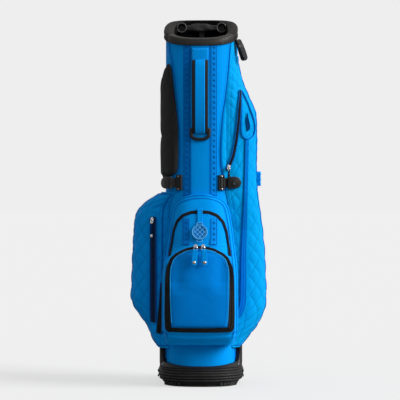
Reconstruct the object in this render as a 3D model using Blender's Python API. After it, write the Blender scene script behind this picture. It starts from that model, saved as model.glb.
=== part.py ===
"""Golf stand bag: an oval fabric tube between a slanted moulded cuff and a treaded base, with zipped
pockets, carry straps and clips on the outside, and two folding legs driven from a treadle in the base.

Metres, +Z up. The front of the bag faces -Y. The origin is the centre of the flat sole.
"""

import math

import bmesh
import bpy
from mathutils import Matrix, Vector

# ---- driving dimensions -------------------------------------------------------------------------
GAP = 0.0004                  # clearance between pieces that touch
OVAL_POWER = 2.6              # how square the bag's oval is
OVAL_STEPS = 40
HALF_WIDTH = 0.085            # of the fabric tube
DEPTH_EXTRA = 0.010           # the tube is this much deeper than wide, on each side
CUFF_TILT = math.radians(17.2)
CUFF_LOW = 0.838              # underside of the cuff at the bag's axis
CUFF_HEIGHT = 0.0215
CUFF_HALF_WIDTH = 0.0885
SHELL_FLOOR = 0.0095
SHELL_WALL = 0.002

SOLE_TOP = 0.0036
BOOT_BOTTOM = 0.004
BOOT_FLOOR = 0.0088
BOOT_HALF_WIDTH = 0.103
NOTCH_HALF_WIDTH = 0.040      # rear notch for the stand's actuator
NOTCH_FRONT = 0.0995

BOSS_X = 0.0490               # lift grip across the mouth
BOSS_RADIUS = 0.0115
BOSS_FACE_Y = 0.0600
GRIP_Z = 0.8665

HANDLE_LOW = 0.6025           # grab strap on the front
HANDLE_HIGH = 0.7715
HANDLE_HALF_WIDTH = 0.0195

CLIP_Z = 0.4835
CLIP_U = 0.0371               # from the front centre line round the tube

PULL_HALF_WIDTH = 0.0062      # tabs on the ball pocket's sliders
BADGE_Z = 0.3665

LEG_X = 0.048                 # stand
LEG_Y = 0.116
LEG_HINGE_Z = 0.828
LEG_SPLAY = math.radians(25.0)
LEG_FOOT_Z = 0.128
LEG_RADIUS = 0.007
CLAMP_DROP = 0.085            # leg hinge to rod clamp
ROD_X = 0.028
ROD_Y = 0.1348
ROD_FOOT_Z = 0.030
TREADLE_Y = 0.1045
TREADLE_Z = 0.0050


# ---- materials ----------------------------------------------------------------------------------
COLOURS = {
    "blue_fabric": ((0.0, 0.145, 0.72), 0.62, 0.0),
    "black_mesh": ((0.012, 0.012, 0.014), 0.8, 0.0),
    "black_webbing": ((0.010, 0.010, 0.012), 0.75, 0.0),
    "black_plastic": ((0.011, 0.011, 0.012), 0.45, 0.0),
    "cuff_leather": ((0.020, 0.017, 0.015), 0.42, 0.0),
    "rubber": ((0.013, 0.013, 0.014), 0.7, 0.0),
    "zip_tape": ((0.006, 0.007, 0.011), 0.7, 0.0),
    "zip_metal": ((0.72, 0.70, 0.66), 0.25, 1.0),
    "lining": ((0.020, 0.022, 0.028), 0.85, 0.0),
    "aluminium": ((0.60, 0.61, 0.63), 0.32, 1.0),
    "steel": ((0.45, 0.46, 0.48), 0.35, 1.0),
}


def material(slot, node):
    colour, roughness, metallic = COLOURS[slot]
    made = bpy.data.materials.new(node + "_" + slot)
    made.use_nodes = True
    shader = made.node_tree.nodes["Principled BSDF"]
    shader.inputs["Base Color"].default_value = (*colour, 1.0)
    shader.inputs["Roughness"].default_value = roughness
    shader.inputs["Metallic"].default_value = metallic
    return made


# ---- making objects -----------------------------------------------------------------------------
def clear_scene():
    for obj in list(bpy.data.objects):
        bpy.data.objects.remove(obj, do_unlink=True)


def finish_mesh(bm, name):
    """A mesh with outward faces and smooth round stretches."""
    bmesh.ops.recalc_face_normals(bm, faces=bm.faces)
    mesh = bpy.data.meshes.new(name)
    bm.to_mesh(mesh)
    bm.free()
    mesh.shade_smooth()
    mesh.set_sharp_from_angle(angle=math.radians(35))
    return mesh


def add_part(name, mesh, slot, pivot=(0.0, 0.0, 0.0)):
    """Adds a node whose mesh is given in world space, with its origin at the pivot."""
    pivot = Vector(pivot)
    mesh.transform(Matrix.Translation(-pivot))
    mesh.materials.append(material(slot, name))
    obj = bpy.data.objects.new(name, mesh)
    obj.location = pivot
    bpy.context.scene.collection.objects.link(obj)
    return obj


def joint_empty(name, pivot):
    """An empty on a joint's axis that carries one moving body."""
    empty = bpy.data.objects.new(name, None)
    empty.empty_display_size = 0.02
    empty.location = pivot
    bpy.context.scene.collection.objects.link(empty)
    return empty


def carry(empty, *objects):
    """Parents objects to a joint's empty without moving them."""
    for obj in objects:
        obj.parent = empty
        obj.matrix_parent_inverse = Matrix.Translation(-empty.location)


def boolean(obj, other, operation):
    """Cuts obj with other, or joins other to it, and hides other as a helper."""
    modifier = obj.modifiers.new(operation.lower(), "BOOLEAN")
    modifier.operation = operation
    modifier.solver = "EXACT"
    modifier.object = other
    other.hide_render = True
    other.display_type = "WIRE"


def helper(name, mesh):
    obj = bpy.data.objects.new(name, mesh)
    bpy.context.scene.collection.objects.link(obj)
    return obj


# ---- mesh builders ------------------------------------------------------------------------------
def box_mesh(name, low, high, bevel=0.0, turn=0.0, about=(0.0, 0.0)):
    """A box from its corners, its edges bevelled, then turned about the vertical line at `about`."""
    bm = bmesh.new()
    bmesh.ops.create_cube(bm, size=1.0)
    centre = [(a + b) / 2 for a, b in zip(low, high)]
    size = [b - a for a, b in zip(low, high)]
    bmesh.ops.scale(bm, vec=size, verts=bm.verts)
    bmesh.ops.translate(bm, vec=centre, verts=bm.verts)
    if bevel:
        bmesh.ops.bevel(
            bm, geom=bm.edges[:], offset=bevel, segments=2, profile=0.5, affect="EDGES"
        )
    if turn:
        bmesh.ops.rotate(
            bm, cent=(*about, 0.0), matrix=Matrix.Rotation(turn, 3, "Z"), verts=bm.verts
        )
    return finish_mesh(bm, name)


def rings_mesh(name, rings, looped=False):
    """Closed loops of points joined one to the next. Looped joins the last to the first."""
    bm = bmesh.new()
    rows = [[bm.verts.new(point) for point in ring] for ring in rings]
    count = len(rows[0])
    pairs = list(zip(rows, rows[1:]))
    if looped:
        pairs.append((rows[-1], rows[0]))
    for lower, upper in pairs:
        for i in range(count):
            j = (i + 1) % count
            bm.faces.new((lower[i], lower[j], upper[j], upper[i]))
    if not looped:
        bm.faces.new(rows[0][::-1])
        bm.faces.new(rows[-1])
    return finish_mesh(bm, name)


def sheet_mesh(name, outer, inner):
    """A solid between two grids of points of the same size."""
    bm = bmesh.new()
    top = [[bm.verts.new(p) for p in row] for row in outer]
    bottom = [[bm.verts.new(p) for p in row] for row in inner]
    rows, columns = len(top), len(top[0])
    for i in range(rows - 1):
        for j in range(columns - 1):
            bm.faces.new((top[i][j], top[i][j + 1], top[i + 1][j + 1], top[i + 1][j]))
            bm.faces.new((bottom[i][j], bottom[i + 1][j], bottom[i + 1][j + 1], bottom[i][j + 1]))
    edge = [(0, j) for j in range(columns)]
    edge += [(i, columns - 1) for i in range(1, rows)]
    edge += [(rows - 1, j) for j in range(columns - 2, -1, -1)]
    edge += [(i, 0) for i in range(rows - 2, 0, -1)]
    for (a, b), (c, d) in zip(edge, edge[1:] + edge[:1]):
        bm.faces.new((top[a][b], bottom[a][b], bottom[c][d], top[c][d]))
    return finish_mesh(bm, name)


def turned_mesh(name, profile, start, direction, steps=16):
    """A solid of revolution. The profile lists (distance along the axis, radius)."""
    axis = Vector(direction).normalized()
    side = axis.orthogonal().normalized()
    across = axis.cross(side)
    rings = []
    for along, radius in profile:
        centre = Vector(start) + axis * along
        rings.append(
            [
                centre
                + side * (radius * math.cos(2 * math.pi * k / steps))
                + across * (radius * math.sin(2 * math.pi * k / steps))
                for k in range(steps)
            ]
        )
    return rings_mesh(name, rings)


def ring_mesh(name, centre, direction, profile, steps=20):
    """A ring turned about an axis. The closed profile lists (distance along the axis, radius)."""
    axis = Vector(direction).normalized()
    side = axis.orthogonal().normalized()
    across = axis.cross(side)
    rings = []
    for k in range(steps):
        angle = 2 * math.pi * k / steps
        out = side * math.cos(angle) + across * math.sin(angle)
        rings.append([Vector(centre) + axis * along + out * radius for along, radius in profile])
    return rings_mesh(name, rings, looped=True)


def rounded_ends(length, radius, ease=0.0015):
    """The profile of a pin with eased ends."""
    return [(0.0, radius - ease), (ease, radius), (length - ease, radius), (length, radius - ease)]


# ---- the bag's surfaces -------------------------------------------------------------------------
def oval_point(angle, half_width):
    """A point on the oval. Angle 0 is the front, and +90 degrees is the +X side."""
    s, c = math.sin(angle), math.cos(angle)
    return (
        math.copysign(half_width * abs(s) ** (2 / OVAL_POWER), s),
        -math.copysign((half_width + DEPTH_EXTRA) * abs(c) ** (2 / OVAL_POWER), c),
    )


def oval_ring(half_width, height):
    """A loop round the oval. The height is a number or a function of (angle, y)."""
    ring = []
    for k in range(OVAL_STEPS):
        angle = 2 * math.pi * k / OVAL_STEPS
        x, y = oval_point(angle, half_width)
        ring.append((x, y, height(angle, y) if callable(height) else height))
    return ring


def oval_front(x, grow=0.0):
    """The depth of the oval's front wall at x, as a positive distance."""
    half_width = HALF_WIDTH + grow
    half_depth = HALF_WIDTH + DEPTH_EXTRA + grow
    inside = max(0.0, 1.0 - (abs(x) / half_width) ** OVAL_POWER)
    return half_depth * inside ** (1 / OVAL_POWER)


def slanted(height):
    """The height of a plane that slants up to the rear, passing the axis at the given height."""
    return lambda angle, y: height + y * math.tan(CUFF_TILT)


def reach_at(points, z):
    """Linear interpolation through (height, value) points listed from low to high."""
    if z <= points[0][0]:
        return points[0][1]
    for (z0, r0), (z1, r1) in zip(points, points[1:]):
        if z <= z1:
            t = (z - z0) / (z1 - z0)
            return r0 + (r1 - r0) * t
    return points[-1][1]


def levels(low, high, count):
    return [low + (high - low) * k / (count - 1) for k in range(count)]


def normal_of(surface, u, v, step=0.0005):
    """The outward normal of a surface(u, v), by small differences."""
    along_u = surface(u + step, v) - surface(u - step, v)
    along_v = surface(u, v + step) - surface(u, v - step)
    return along_u.cross(along_v).normalized()


def patch_mesh(name, surface, rows, low, high):
    """A plate that follows a surface. Rows list (v, [u, ...]); low and high are its lifts."""
    outer, inner = [], []
    for v, columns in rows:
        outer.append([surface(u, v) + normal_of(surface, u, v) * high for u in columns])
        inner.append([surface(u, v) + normal_of(surface, u, v) * low for u in columns])
    return sheet_mesh(name, outer, inner)


def dense_path(path, step=0.009):
    """The same path with extra points, none further apart than the step."""
    points = [path[0]]
    for (u0, v0), (u1, v1) in zip(path, path[1:]):
        parts = max(1, math.ceil(math.hypot(u1 - u0, v1 - v0) / step))
        for k in range(1, parts + 1):
            points.append((u0 + (u1 - u0) * k / parts, v0 + (v1 - v0) * k / parts))
    return points


def strip_mesh(name, surface, path, width, low, high):
    """A narrow band along a path of (u, v) points that lies on a surface."""
    path = dense_path(path)
    rings = []
    for k, (u, v) in enumerate(path):
        before = path[max(k - 1, 0)]
        after = path[min(k + 1, len(path) - 1)]
        tangent = (surface(*after) - surface(*before)).normalized()
        normal = normal_of(surface, u, v)
        across = normal.cross(tangent).normalized() * (width / 2)
        base = surface(u, v)
        rings.append(
            [
                base + normal * low - across,
                base + normal * low + across,
                base + normal * high + across,
                base + normal * high - across,
            ]
        )
    return rings_mesh(name, rings)


def front_skin(u, v):
    """The fabric tube's front wall: u is x, v the height."""
    return Vector((u, -oval_front(u), v))


def skin(u, v):
    """The fabric tube's wall: u is metres round it from the front centre line, v the height."""
    x, y = oval_point(u / 0.09, HALF_WIDTH)
    return Vector((x, y, v))


# Half width and reach in front of the tube, by height.
FRONT_WIDTH = [
    (0.102, 0.078), (0.125, 0.092), (0.150, 0.099), (0.260, 0.0985), (0.300, 0.090),
    (0.345, 0.0815), (0.380, 0.0765), (0.412, 0.0700), (0.434, 0.0570), (0.448, 0.0370), (0.456, 0.0130),
]
FRONT_REACH = [
    (0.102, 0.034), (0.122, 0.050), (0.150, 0.060), (0.240, 0.064), (0.310, 0.058),
    (0.350, 0.040), (0.400, 0.026), (0.434, 0.016), (0.456, 0.008),
]


def front_surface(u, v):
    """The front pocket's face: u is x, v the height."""
    half = reach_at(FRONT_WIDTH, v)
    share = min(1.0, abs(u) / half)
    reach = reach_at(FRONT_REACH, v) * (1.0 - share**4) ** 0.5
    side = min(0.068, oval_front(min(abs(u), 0.0735), 0.001))
    return Vector((u, -max(side, oval_front(u)) - reach, v))


# ---- tube, cuff and base ------------------------------------------------------------------------
def make_body_shell():
    top = slanted(CUFF_LOW + 0.008)
    inside = HALF_WIDTH - SHELL_WALL
    rings = [
        oval_ring(HALF_WIDTH, SHELL_FLOOR),
        oval_ring(HALF_WIDTH, top),
        oval_ring(inside, top),
        oval_ring(inside, SHELL_FLOOR + SHELL_WALL),
    ]
    add_part("body_shell", rings_mesh("body_shell", rings), "blue_fabric")


def make_cuff():
    lip = CUFF_HALF_WIDTH - 0.0065
    profile = [
        (CUFF_HALF_WIDTH - 0.0010, 0.0),
        (CUFF_HALF_WIDTH, 0.0025),
        (CUFF_HALF_WIDTH, CUFF_HEIGHT - 0.004),
        (CUFF_HALF_WIDTH - 0.0015, CUFF_HEIGHT - 0.001),
        (CUFF_HALF_WIDTH - 0.0035, CUFF_HEIGHT),
        (lip + 0.0010, CUFF_HEIGHT - 0.001),
        (lip, CUFF_HEIGHT - 0.004),
        (lip, 0.0085),
        (HALF_WIDTH + GAP, 0.0085),
        (HALF_WIDTH + GAP, 0.0),
    ]
    rings = [oval_ring(half, slanted(CUFF_LOW + rise)) for half, rise in profile]
    add_part("cuff", rings_mesh("cuff", rings, looped=True), "cuff_leather")


def make_dividers():
    """The padded cross bars in the mouth, and the fabric walls that hang from them to the floor."""
    inside = HALF_WIDTH - SHELL_WALL - 0.0008
    tilt = Matrix.Shear("XY", 4, (0.0, 0.0))
    tilt[2][1] = math.tan(CUFF_TILT)
    low, high = CUFF_LOW - 0.022, CUFF_LOW - 0.006
    across = box_mesh("bar", (-inside + 0.001, -0.004, low), (inside - 0.001, 0.004, high), 0.0015)
    along = box_mesh("bar_along", (-0.0035, -0.0905, low + 0.001), (0.0035, 0.052, high - 0.001), 0.0012)
    across.transform(tilt)
    along.transform(tilt)
    bars = add_part("cuff_divider", across, "black_webbing")
    boolean(bars, helper("divider_bar_along", along), "UNION")

    wall = HALF_WIDTH - SHELL_WALL - 0.0008
    top = CUFF_LOW - 0.024
    across = box_mesh("wall", (-wall, -0.001, 0.014), (wall, 0.001, top))
    along = box_mesh("wall_along", (-0.001, -wall - 0.009, 0.015), (0.001, 0.052, top - 0.001))
    for mesh in (across, along):
        for vertex in mesh.vertices:
            if vertex.co.z > 0.1:
                vertex.co.z += vertex.co.y * math.tan(CUFF_TILT)
    walls = add_part("long_dividers", across, "lining")
    boolean(walls, helper("divider_wall_along", along), "UNION")


def make_stays():
    """Flat stiff uprights just inside the fabric tube."""
    for name, degrees in (("stay_left", -52.0), ("stay_right", 52.0), ("stay_rear", 180.0)):
        angle = math.radians(degrees)
        x, y = oval_point(angle, HALF_WIDTH - SHELL_WALL - 0.0042)
        facing = Vector((math.sin(angle), -math.cos(angle), 0.0))
        turn = math.atan2(facing.y, facing.x) - math.pi / 2
        top = CUFF_LOW - 0.003 + y * math.tan(CUFF_TILT)
        mesh = box_mesh(
            name, (x - 0.006, y - 0.0012, 0.0135), (x + 0.006, y + 0.0012, top), 0.0005, turn, (x, y)
        )
        add_part(name, mesh, "aluminium")


def boot_height(angle, y):
    """The boot's top edge: low at the front, with a wing up each side."""
    return 0.049 + 0.008 * abs(math.sin(angle)) ** 2 + 0.027 * abs(math.sin(angle)) ** 14


def make_boot():
    profile = [
        (0.0885, BOOT_BOTTOM), (0.0935, 0.010), (0.1005, 0.022), (BOOT_HALF_WIDTH, 0.030),
        (0.1010, 0.038), (0.0965, 0.045),
    ]
    rings = [oval_ring(half, height) for half, height in profile]
    rings.append(oval_ring(0.0935, boot_height))
    rings.append(oval_ring(HALF_WIDTH + 0.0020, boot_height))
    rings.append(oval_ring(HALF_WIDTH + GAP, lambda angle, y: boot_height(angle, y) - 0.002))
    rings.append(oval_ring(HALF_WIDTH + GAP, BOOT_FLOOR))
    boot = add_part("base_boot", rings_mesh("base_boot", rings), "rubber")
    notch = box_mesh(
        "boot_notch", (-NOTCH_HALF_WIDTH, NOTCH_FRONT, -0.01), (NOTCH_HALF_WIDTH, 0.14, 0.12)
    )
    boolean(boot, helper("boot_notch", notch), "DIFFERENCE")


def make_outsole():
    rings = [
        oval_ring(0.0870, 0.0),
        oval_ring(0.0885, 0.0012),
        oval_ring(0.0885, SOLE_TOP),
    ]
    sole = add_part("base_outsole", rings_mesh("base_outsole", rings), "rubber")
    cut = box_mesh("sole_cut", (-0.036, 0.014, -0.01), (0.036, 0.14, 0.02))
    boolean(sole, helper("sole_cut", cut), "DIFFERENCE")


# ---- grip in the mouth --------------------------------------------------------------------------
def cup(name, side):
    """A round hollow boss whose open end faces forward and whose rear follows the cuff's wall."""
    lip = CUFF_HALF_WIDTH - 0.0065
    rings = []
    profile = [(0.0080, 0.0060), (0.0080, 0.0), (0.0085, 0.0), (BOSS_RADIUS, 0.0012), (BOSS_RADIUS, None)]
    for radius, depth in profile:
        ring = []
        for k in range(20):
            angle = 2 * math.pi * k / 20
            x = side * BOSS_X + radius * math.sin(angle)
            share = max(0.0, 1.0 - (abs(x) / lip) ** OVAL_POWER)
            wall = (lip + DEPTH_EXTRA) * share ** (1 / OVAL_POWER) - 0.0008
            y = wall if depth is None else BOSS_FACE_Y + depth
            ring.append((x, y, GRIP_Z + radius * math.cos(angle)))
        rings.append(ring)
    add_part(name, rings_mesh(name, rings), "black_plastic")


def make_top_grip():
    """A lift grip across the rear of the mouth, between two round bosses on the cuff's wall."""
    cup("grip_boss_left", -1)
    cup("grip_boss_right", 1)
    end = BOSS_X - BOSS_RADIUS - GAP
    low, high = (-end, 0.0625, GRIP_Z - 0.0105), (end, 0.0745, GRIP_Z + 0.0105)
    add_part("top_grip_bar", box_mesh("top_grip_bar", low, high, 0.004), "black_webbing")


# ---- front --------------------------------------------------------------------------------------
def make_handle():
    """A sewn patch, a padded strap that stands off the tube, and the ring at its foot."""
    rows = [(z, levels(-0.020, 0.020, 9)) for z in levels(0.7725, 0.8025, 4)]
    add_part("handle_patch", patch_mesh("handle_patch", front_skin, rows, 0.0008, 0.0045), "blue_fabric")

    outer, inner = [], []
    for share in levels(0.0, 1.0, 15):
        z = HANDLE_LOW + (HANDLE_HIGH - HANDLE_LOW) * share
        bow = 0.001 + 0.0165 * max(0.0, math.sin(math.pi * share)) ** 0.55
        back = oval_front(0.0) + bow
        across = levels(-HANDLE_HALF_WIDTH, HANDLE_HALF_WIDTH, 7)
        outer.append([(x, -back - 0.0070 + 0.0022 * (abs(x) / HANDLE_HALF_WIDTH) ** 3, z) for x in across])
        inner.append([(x, -back, z) for x in across])
    add_part("front_handle", sheet_mesh("front_handle", outer, inner), "blue_fabric")

    bend = []
    for k in range(13):
        angle = math.pi * k / 12
        bend.append((-0.0225 * math.cos(angle), 0.6020 - 0.0165 * math.sin(angle)))
    outline = [(-0.0225, 0.6120)] + bend + [(0.0225, 0.6120)]
    mesh = strip_mesh("handle_ring", front_skin, outline, 0.0050, 0.0010, 0.0055)
    add_part("handle_ring", mesh, "black_plastic")


def front_rows(points, low, high, count, columns=13):
    """Rows of a plate whose half width follows (height, half width) points."""
    rows = []
    for z in levels(low, high, count):
        half = reach_at(points, z)
        rows.append((z, levels(-half, half, columns)))
    return rows


POCKET_ROWS = [
    0.102, 0.108, 0.122, 0.150, 0.190, 0.240, 0.290, 0.325, 0.350, 0.380, 0.405, 0.425, 0.442, 0.456,
]


def make_front_pocket():
    outer, inner = [], []
    for z in POCKET_ROWS:
        half = reach_at(FRONT_WIDTH, z)
        columns = [half * math.sin(math.pi / 2 * s) for s in levels(-1.0, 1.0, 23)]
        outer.append([front_surface(x, z) for x in columns])
        inner.append([(x, -max(0.0675, oval_front(x, 0.0018)), z) for x in columns])
    for outer_row, inner_row in zip(outer, inner):
        for k in (0, -1):
            outer_row[k] = Vector((outer_row[k].x, inner_row[k][1] - 0.004, outer_row[k].z))
    add_part("front_pocket", sheet_mesh("front_pocket", outer, inner), "blue_fabric")


# Half widths of the two zipped panels, by height. Each ends in a shallow arc over the middle.
BALL_PANEL = [
    (0.146, 0.062), (0.158, 0.067), (0.270, 0.068), (0.290, 0.0655), (0.302, 0.060), (0.310, 0.052),
    (0.321, 0.032), (0.3255, 0.014),
]
ARCH_PANEL = [(0.352, 0.0595), (0.372, 0.0565), (0.392, 0.0490), (0.405, 0.0360), (0.411, 0.0200)]
SLIDER_TRAVEL = [(0.0088, 0.3335), (0.0350, 0.3277), (0.0570, 0.3150)]    # x and z along the arc


def outline_path(points, low, grow):
    """The path round a panel's sides and arched top, grown outwards, from low left to low right."""
    edge = [Vector((half, z)) for z, half in points if z >= low]
    crown = Vector((0.0, points[-1][0] + 0.0013))
    right = []
    for k, point in enumerate(edge):
        before = edge[max(k - 1, 0)]
        after = edge[k + 1] if k + 1 < len(edge) else crown
        along = (after - before).normalized()
        right.append((point.x + along.y * grow, point.y - along.x * grow))
    left = [(-x, z) for x, z in right]
    return left + [(0.0, crown.y + grow)] + right[::-1]


def make_front_panels():
    rows = front_rows(BALL_PANEL, 0.146, 0.3255, 18, 17)
    mesh = patch_mesh("ball_pocket_panel", front_surface, rows, 0.0018, 0.0052)
    add_part("ball_pocket_panel", mesh, "blue_fabric")
    rows = front_rows(ARCH_PANEL, 0.352, 0.411, 8)
    mesh = patch_mesh("valuables_panel", front_surface, rows, 0.0012, 0.0032)
    add_part("valuables_panel", mesh, "blue_fabric")

    path = outline_path(BALL_PANEL, 0.146, 0.0072)
    mesh = strip_mesh("ball_pocket_zip", front_surface, path, 0.0085, 0.0026, 0.0042)
    add_part("ball_pocket_zip", mesh, "zip_tape")
    path = outline_path(ARCH_PANEL, 0.352, 0.0062)
    mesh = strip_mesh("valuables_zip", front_surface, path, 0.0075, 0.0014, 0.0030)
    add_part("valuables_zip", mesh, "zip_tape")


def front_y(x, z, lift):
    return front_surface(x, z).y - lift


def circle_centre(first, middle, last):
    """The centre of the circle through three points, and the axis it turns about."""
    a, b = middle - first, last - first
    normal = a.cross(b)
    offset = (b.length_squared * normal.cross(a) - a.length_squared * normal.cross(b)) / (
        2 * normal.length_squared
    )
    return first + offset, normal.normalized()


def make_ball_sliders():
    """Two sliders that meet at the top of the arch, each with a hanging pull tab."""
    for name, side in (("left", -1), ("right", 1)):
        travel = [Vector((side * x, front_y(x, z, 0.0060), z)) for x, z in SLIDER_TRAVEL]
        centre, axis = circle_centre(*travel)
        x, z = travel[0].x, travel[0].z
        y = front_y(x, z - 0.0042, 0.0060)
        low, high = (x - 0.0065, y - 0.0040, z - 0.0042), (x + 0.0065, y, z + 0.0042)
        slider = add_part("ball_slider_" + name, box_mesh("slider", low, high, 0.0010), "zip_metal", centre)
        carry(joint_empty("ball_slider_" + name + "_axis", centre), slider)
        pull_y = min(front_y(x, 0.290, 0.0072), front_y(x, 0.310, 0.0072), y - 0.0046)
        hinge = (x, pull_y - 0.0013, z)
        low = (x - PULL_HALF_WIDTH, pull_y - 0.0026, z - 0.0440)
        high = (x + PULL_HALF_WIDTH, pull_y, z + 0.0020)
        pull = add_part("ball_pull_" + name, box_mesh("pull", low, high, 0.0008), "blue_fabric", hinge)
        carry(joint_empty("ball_pull_" + name + "_axis", hinge), pull)


def make_badge():
    """A sewn strap that hangs over the upper zip, with a round badge at its end."""
    top, bottom = 0.4235, 0.3855
    hinge = Vector((0.0, front_y(0.0, top, 0.0042), top))
    axis = joint_empty("badge_axis", hinge)
    back = [(z, front_y(0.0, z, 0.0042)) for z in levels(bottom, top, 5)]
    across = (-PULL_HALF_WIDTH, 0.0, PULL_HALF_WIDTH)
    outer = [[(x, y - 0.0022, z) for x in across] for z, y in back]
    inner = [[(x, y, z) for x in across] for z, y in back]
    strap = add_part("badge_strap", sheet_mesh("badge_strap", outer, inner), "blue_fabric", hinge)
    centre = Vector((0.0, front_y(0.0, BADGE_Z, 0.0068), BADGE_Z))
    mesh = turned_mesh(
        "badge_medallion", [(0.0, 0.0175), (0.0007, 0.0188), (0.0023, 0.0188), (0.0030, 0.0175)],
        centre, (0.0, -1.0, 0.32), 32,
    )
    medallion = add_part("badge_medallion", mesh, "blue_fabric", hinge)
    carry(axis, strap, medallion)


# ---- side pockets -------------------------------------------------------------------------------
LEFT_REACH = [
    (0.088, 0.017), (0.112, 0.029), (0.140, 0.040), (0.163, 0.058), (0.185, 0.073), (0.207, 0.0805),
    (0.300, 0.0785), (0.378, 0.0755), (0.404, 0.072), (0.424, 0.061), (0.444, 0.037), (0.462, 0.006),
]
RIGHT_REACH = [
    (0.090, 0.010), (0.112, 0.025), (0.140, 0.047), (0.165, 0.061), (0.185, 0.068), (0.225, 0.071),
    (0.305, 0.069), (0.380, 0.062), (0.465, 0.0535), (0.530, 0.0500), (0.625, 0.0505), (0.655, 0.048),
    (0.685, 0.034), (0.721, 0.0175), (0.760, 0.006), (0.778, 0.003),
]


def side_front_angle(z):
    """Where a side pocket starts round the tube: further round beside the front pocket."""
    share = min(1.0, max(0.0, (z - 0.425) / 0.035))
    return math.radians(57.0 - 17.0 * share)


def side_surface(side, reach):
    """A side pocket's face: u runs from 0 at its front edge to 1 at its rear, v is the height."""
    def surface(u, v):
        start = side_front_angle(v)
        angle = start + (math.radians(134.0) - start) * u
        x, y = oval_point(angle, HALF_WIDTH + 0.0006)
        bulge = max(0.0, 1.0 - abs(2 * u - 1) ** 2.6) ** 0.6
        return Vector((side * (x + reach_at(reach, v) * bulge), y, v))
    return surface


def make_side_pocket(name, side, reach, count):
    surface = side_surface(side, reach)
    outer, inner = [], []
    for z in levels(reach[0][0], reach[-1][0], count):
        start = side_front_angle(z)
        outer_row, inner_row = [], []
        for u in [0.5 - 0.5 * math.cos(math.pi * s) for s in levels(0.0, 1.0, 15)]:
            angle = start + (math.radians(134.0) - start) * u
            x, y = oval_point(angle, HALF_WIDTH + 0.0006)
            edge = surface(u, z)
            outer_row.append(Vector((edge.x + side * 0.0015, edge.y, z)))
            inner_row.append((side * x, y, z))
        outer.append(outer_row)
        inner.append(inner_row)
    add_part(name, sheet_mesh(name, outer, inner), "blue_fabric")


def side_face(side, reach):
    """The part of a side pocket's face seen from the front: u is x, v the height."""
    surface = side_surface(side, reach)

    def face(u, v):
        low, high = 0.0, 0.5
        for _ in range(30):
            middle = (low + high) / 2
            if abs(surface(middle, v).x) < abs(u):
                low = middle
            else:
                high = middle
        point = surface(low, v)
        return Vector((u, point.y, v))
    return face


def upright_block(name, centre, facing, length, width, thick):
    """A small bevelled block whose length is upright and whose thickness lies along `facing`."""
    turn = math.atan2(facing.y, facing.x) + math.pi / 2
    low = (centre.x - width / 2, centre.y - thick / 2, centre.z - length / 2)
    high = (centre.x + width / 2, centre.y + thick / 2, centre.z + length / 2)
    return box_mesh(name, low, high, 0.0007, turn, (centre.x, centre.y))


LEFT_ZIP = [(-0.1130, 0.150), (-0.1130, 0.402)]
RIGHT_ZIP = [
    (0.0640, 0.5130), (0.0668, 0.5190), (0.0775, 0.5450), (0.0850, 0.5830), (0.0905, 0.6300), (0.0940, 0.6800),
    (0.0950, 0.7040),
]


def make_side_zips():
    for name, side, reach, path in (
        ("left_pocket_zip", -1, LEFT_REACH, LEFT_ZIP), ("right_pocket_zip", 1, RIGHT_REACH, RIGHT_ZIP),
    ):
        mesh = strip_mesh(name, side_face(side, reach), path, 0.009, 0.0032, 0.0048)
        add_part(name, mesh, "zip_tape")


def make_side_sliders():
    """A slider on each side zip with its pull hanging from it."""
    for name, side, reach, path, pivot_at in (
        ("left", -1, LEFT_REACH, [(-0.1130, 0.394)], None),
        ("right", 1, RIGHT_REACH, [(0.0668, 0.5190), (0.0775, 0.5450), (0.0850, 0.5830)], 1),
    ):
        face = side_face(side, reach)
        travel = []
        for x, z in path:
            normal = normal_of(face, x, z)
            out = Vector((normal.x, normal.y, 0.0)).normalized()
            travel.append(face(x, z) + out * 0.0086)
        normal = normal_of(face, *path[0])
        out = Vector((normal.x, normal.y, 0.0)).normalized()
        centre = travel[0]
        pivot = circle_centre(*travel)[0] if pivot_at else centre
        mesh = upright_block("slider", centre, out, 0.012, 0.008, 0.004)
        slider = add_part(name + "_slider", mesh, "zip_metal", pivot)
        carry(joint_empty(name + "_slider_axis", pivot), slider)
        hinge = centre + out * 0.0042
        length = 0.042 if side < 0 else 0.022
        mesh = upright_block("pull", hinge - Vector((0.0, 0.0, length / 2)), out, length, 0.006, 0.0026)
        pull = add_part(name + "_pull", mesh, "zip_metal" if side < 0 else "black_webbing", hinge)
        carry(joint_empty(name + "_pull_axis", hinge), pull)


# ---- straps and clips ---------------------------------------------------------------------------
PAD_FRONT = [(0.505, 0.0530), (0.548, 0.0492), (0.634, 0.0558), (0.720, 0.0680), (0.768, 0.0815)]
PAD_REAR = [(0.700, 0.146), (0.720, 0.120), (0.7405, 0.096), (0.768, 0.0855)]


def make_shoulder_pad():
    """The padded strap down the tube's front left corner. Its top narrows to a point at the front edge."""
    rows = []
    for z in levels(0.5045, 0.700, 12) + [0.710, 0.720, 0.730, 0.7405, 0.754, 0.768]:
        rows.append((z, levels(-reach_at(PAD_REAR, z), -reach_at(PAD_FRONT, z), 12)))
    mesh = patch_mesh("shoulder_pad", skin, rows, 0.0036, 0.0104)
    add_part("shoulder_pad", mesh, "black_mesh")


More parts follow.
